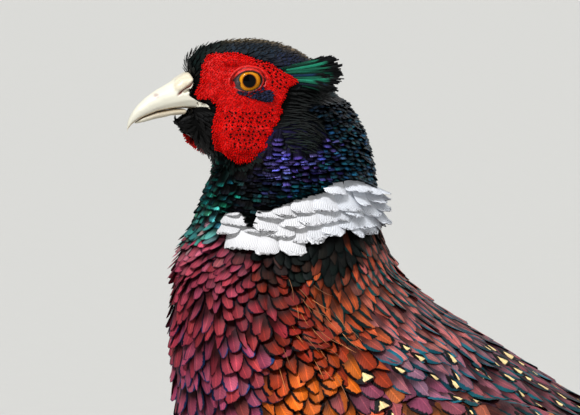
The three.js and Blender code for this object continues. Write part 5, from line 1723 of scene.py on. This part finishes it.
def makeScales(name, nodes):
    piece = remade(name, nodes, 0.6, 0.5, 3)
    points = pointsOf(piece)
    z = points[:, 2:]
    top = points[z[:, 0] > shankTop["top"]].mean(0)[:2]
    low = points[np.abs(z[:, 0] - shankTop["low"]) < 1].mean(0)[:2]
    middle = low + (top - low) * np.clip((z - shankTop["low"]) / 9, 0, 1)
    narrow = smooth(*shankTop["from"], z)  # the top narrows into the feathers
    points[:, :2] = middle + (points[:, :2] - middle) * (1 - 0.6 * narrow)
    setPoints(piece, points)
    shadeSmooth(piece)
    tree, shader, place = legMaterial(name, piece, 0.5)
    cells = tree.nodes.new("ShaderNodeTexVoronoi")
    cells.feature = "DISTANCE_TO_EDGE"
    cells.inputs["Scale"].default_value = 420
    wire(tree, place, cells.inputs["Vector"])
    seam = step(tree, cells.outputs["Distance"], 0.0, 0.12)
    base = ramp(tree, noise(tree, place, 60, 4), [(0.3, paint(98, 90, 80)), (0.7, paint(150, 140, 122))])
    wire(tree, mix(tree, seam, paint(66, 58, 50), base), shader.inputs["Base Color"])
    bump(tree, shader, seam, 0.7, 0.0004)
    putDown(piece, nodes)


def makeClaws(name, nodes):
    piece = remade(name, nodes, 0.35, 0.5, 3)
    shadeSmooth(piece)
    tree, shader, place = legMaterial(name, piece, 0.35)
    base = ramp(tree, noise(tree, place, 200, 3), [(0.3, paint(38, 32, 28)), (0.7, paint(74, 66, 58))])
    wire(tree, base, shader.inputs["Base Color"])
    bump(tree, shader, noise(tree, place, 900, 2), 0.3, 0.0002)
    putDown(piece, nodes)


def makeLegs():
    for side, hand in hands:
        makeScales("leg_scales_" + hand, ["shank_" + hand, "foot_" + hand])
        claws = ("claw_inner_", "claw_middle_", "claw_outer_", "claw_hind_", "spur_")
        makeClaws("leg_claws_" + hand, [claw + hand for claw in claws])
    print("legs")


setStage()
bedPoints, bedFaces = planSurface(wingPlan)
wingBed = [BVHTree.FromPolygons(bedPoints.tolist(), bedFaces)]
skin = makeSkin()
skinSurface = surfaceOf(skin)
colourSkin(skin)
print("skin", len(skin.data.polygons))
makeNeckFeathers(skinSurface)
makeBodyFeathers(skinSurface, "breast_feathers", breastLook, lambda turn: turn > 93)
makeBodyFeathers(skinSurface, "mantle_feathers", mantleLook, lambda turn: turn < 97)
makeShoulderHairs(skinSurface)
makeFlankFeathers(skinSurface)
makeHeadFeathers(skin, skinSurface)
makeEarTufts()
makeNeckRing(skinSurface)
makeFaces()
makeEyes()
makeBill(skinSurface)
makeWings(skinSurface)
makeTail()
makeLegs()
makeThighFeathers(skin, surfaceOf(skin, *[bpy.data.objects["leg_scales_" + hand] for side, hand in hands]))
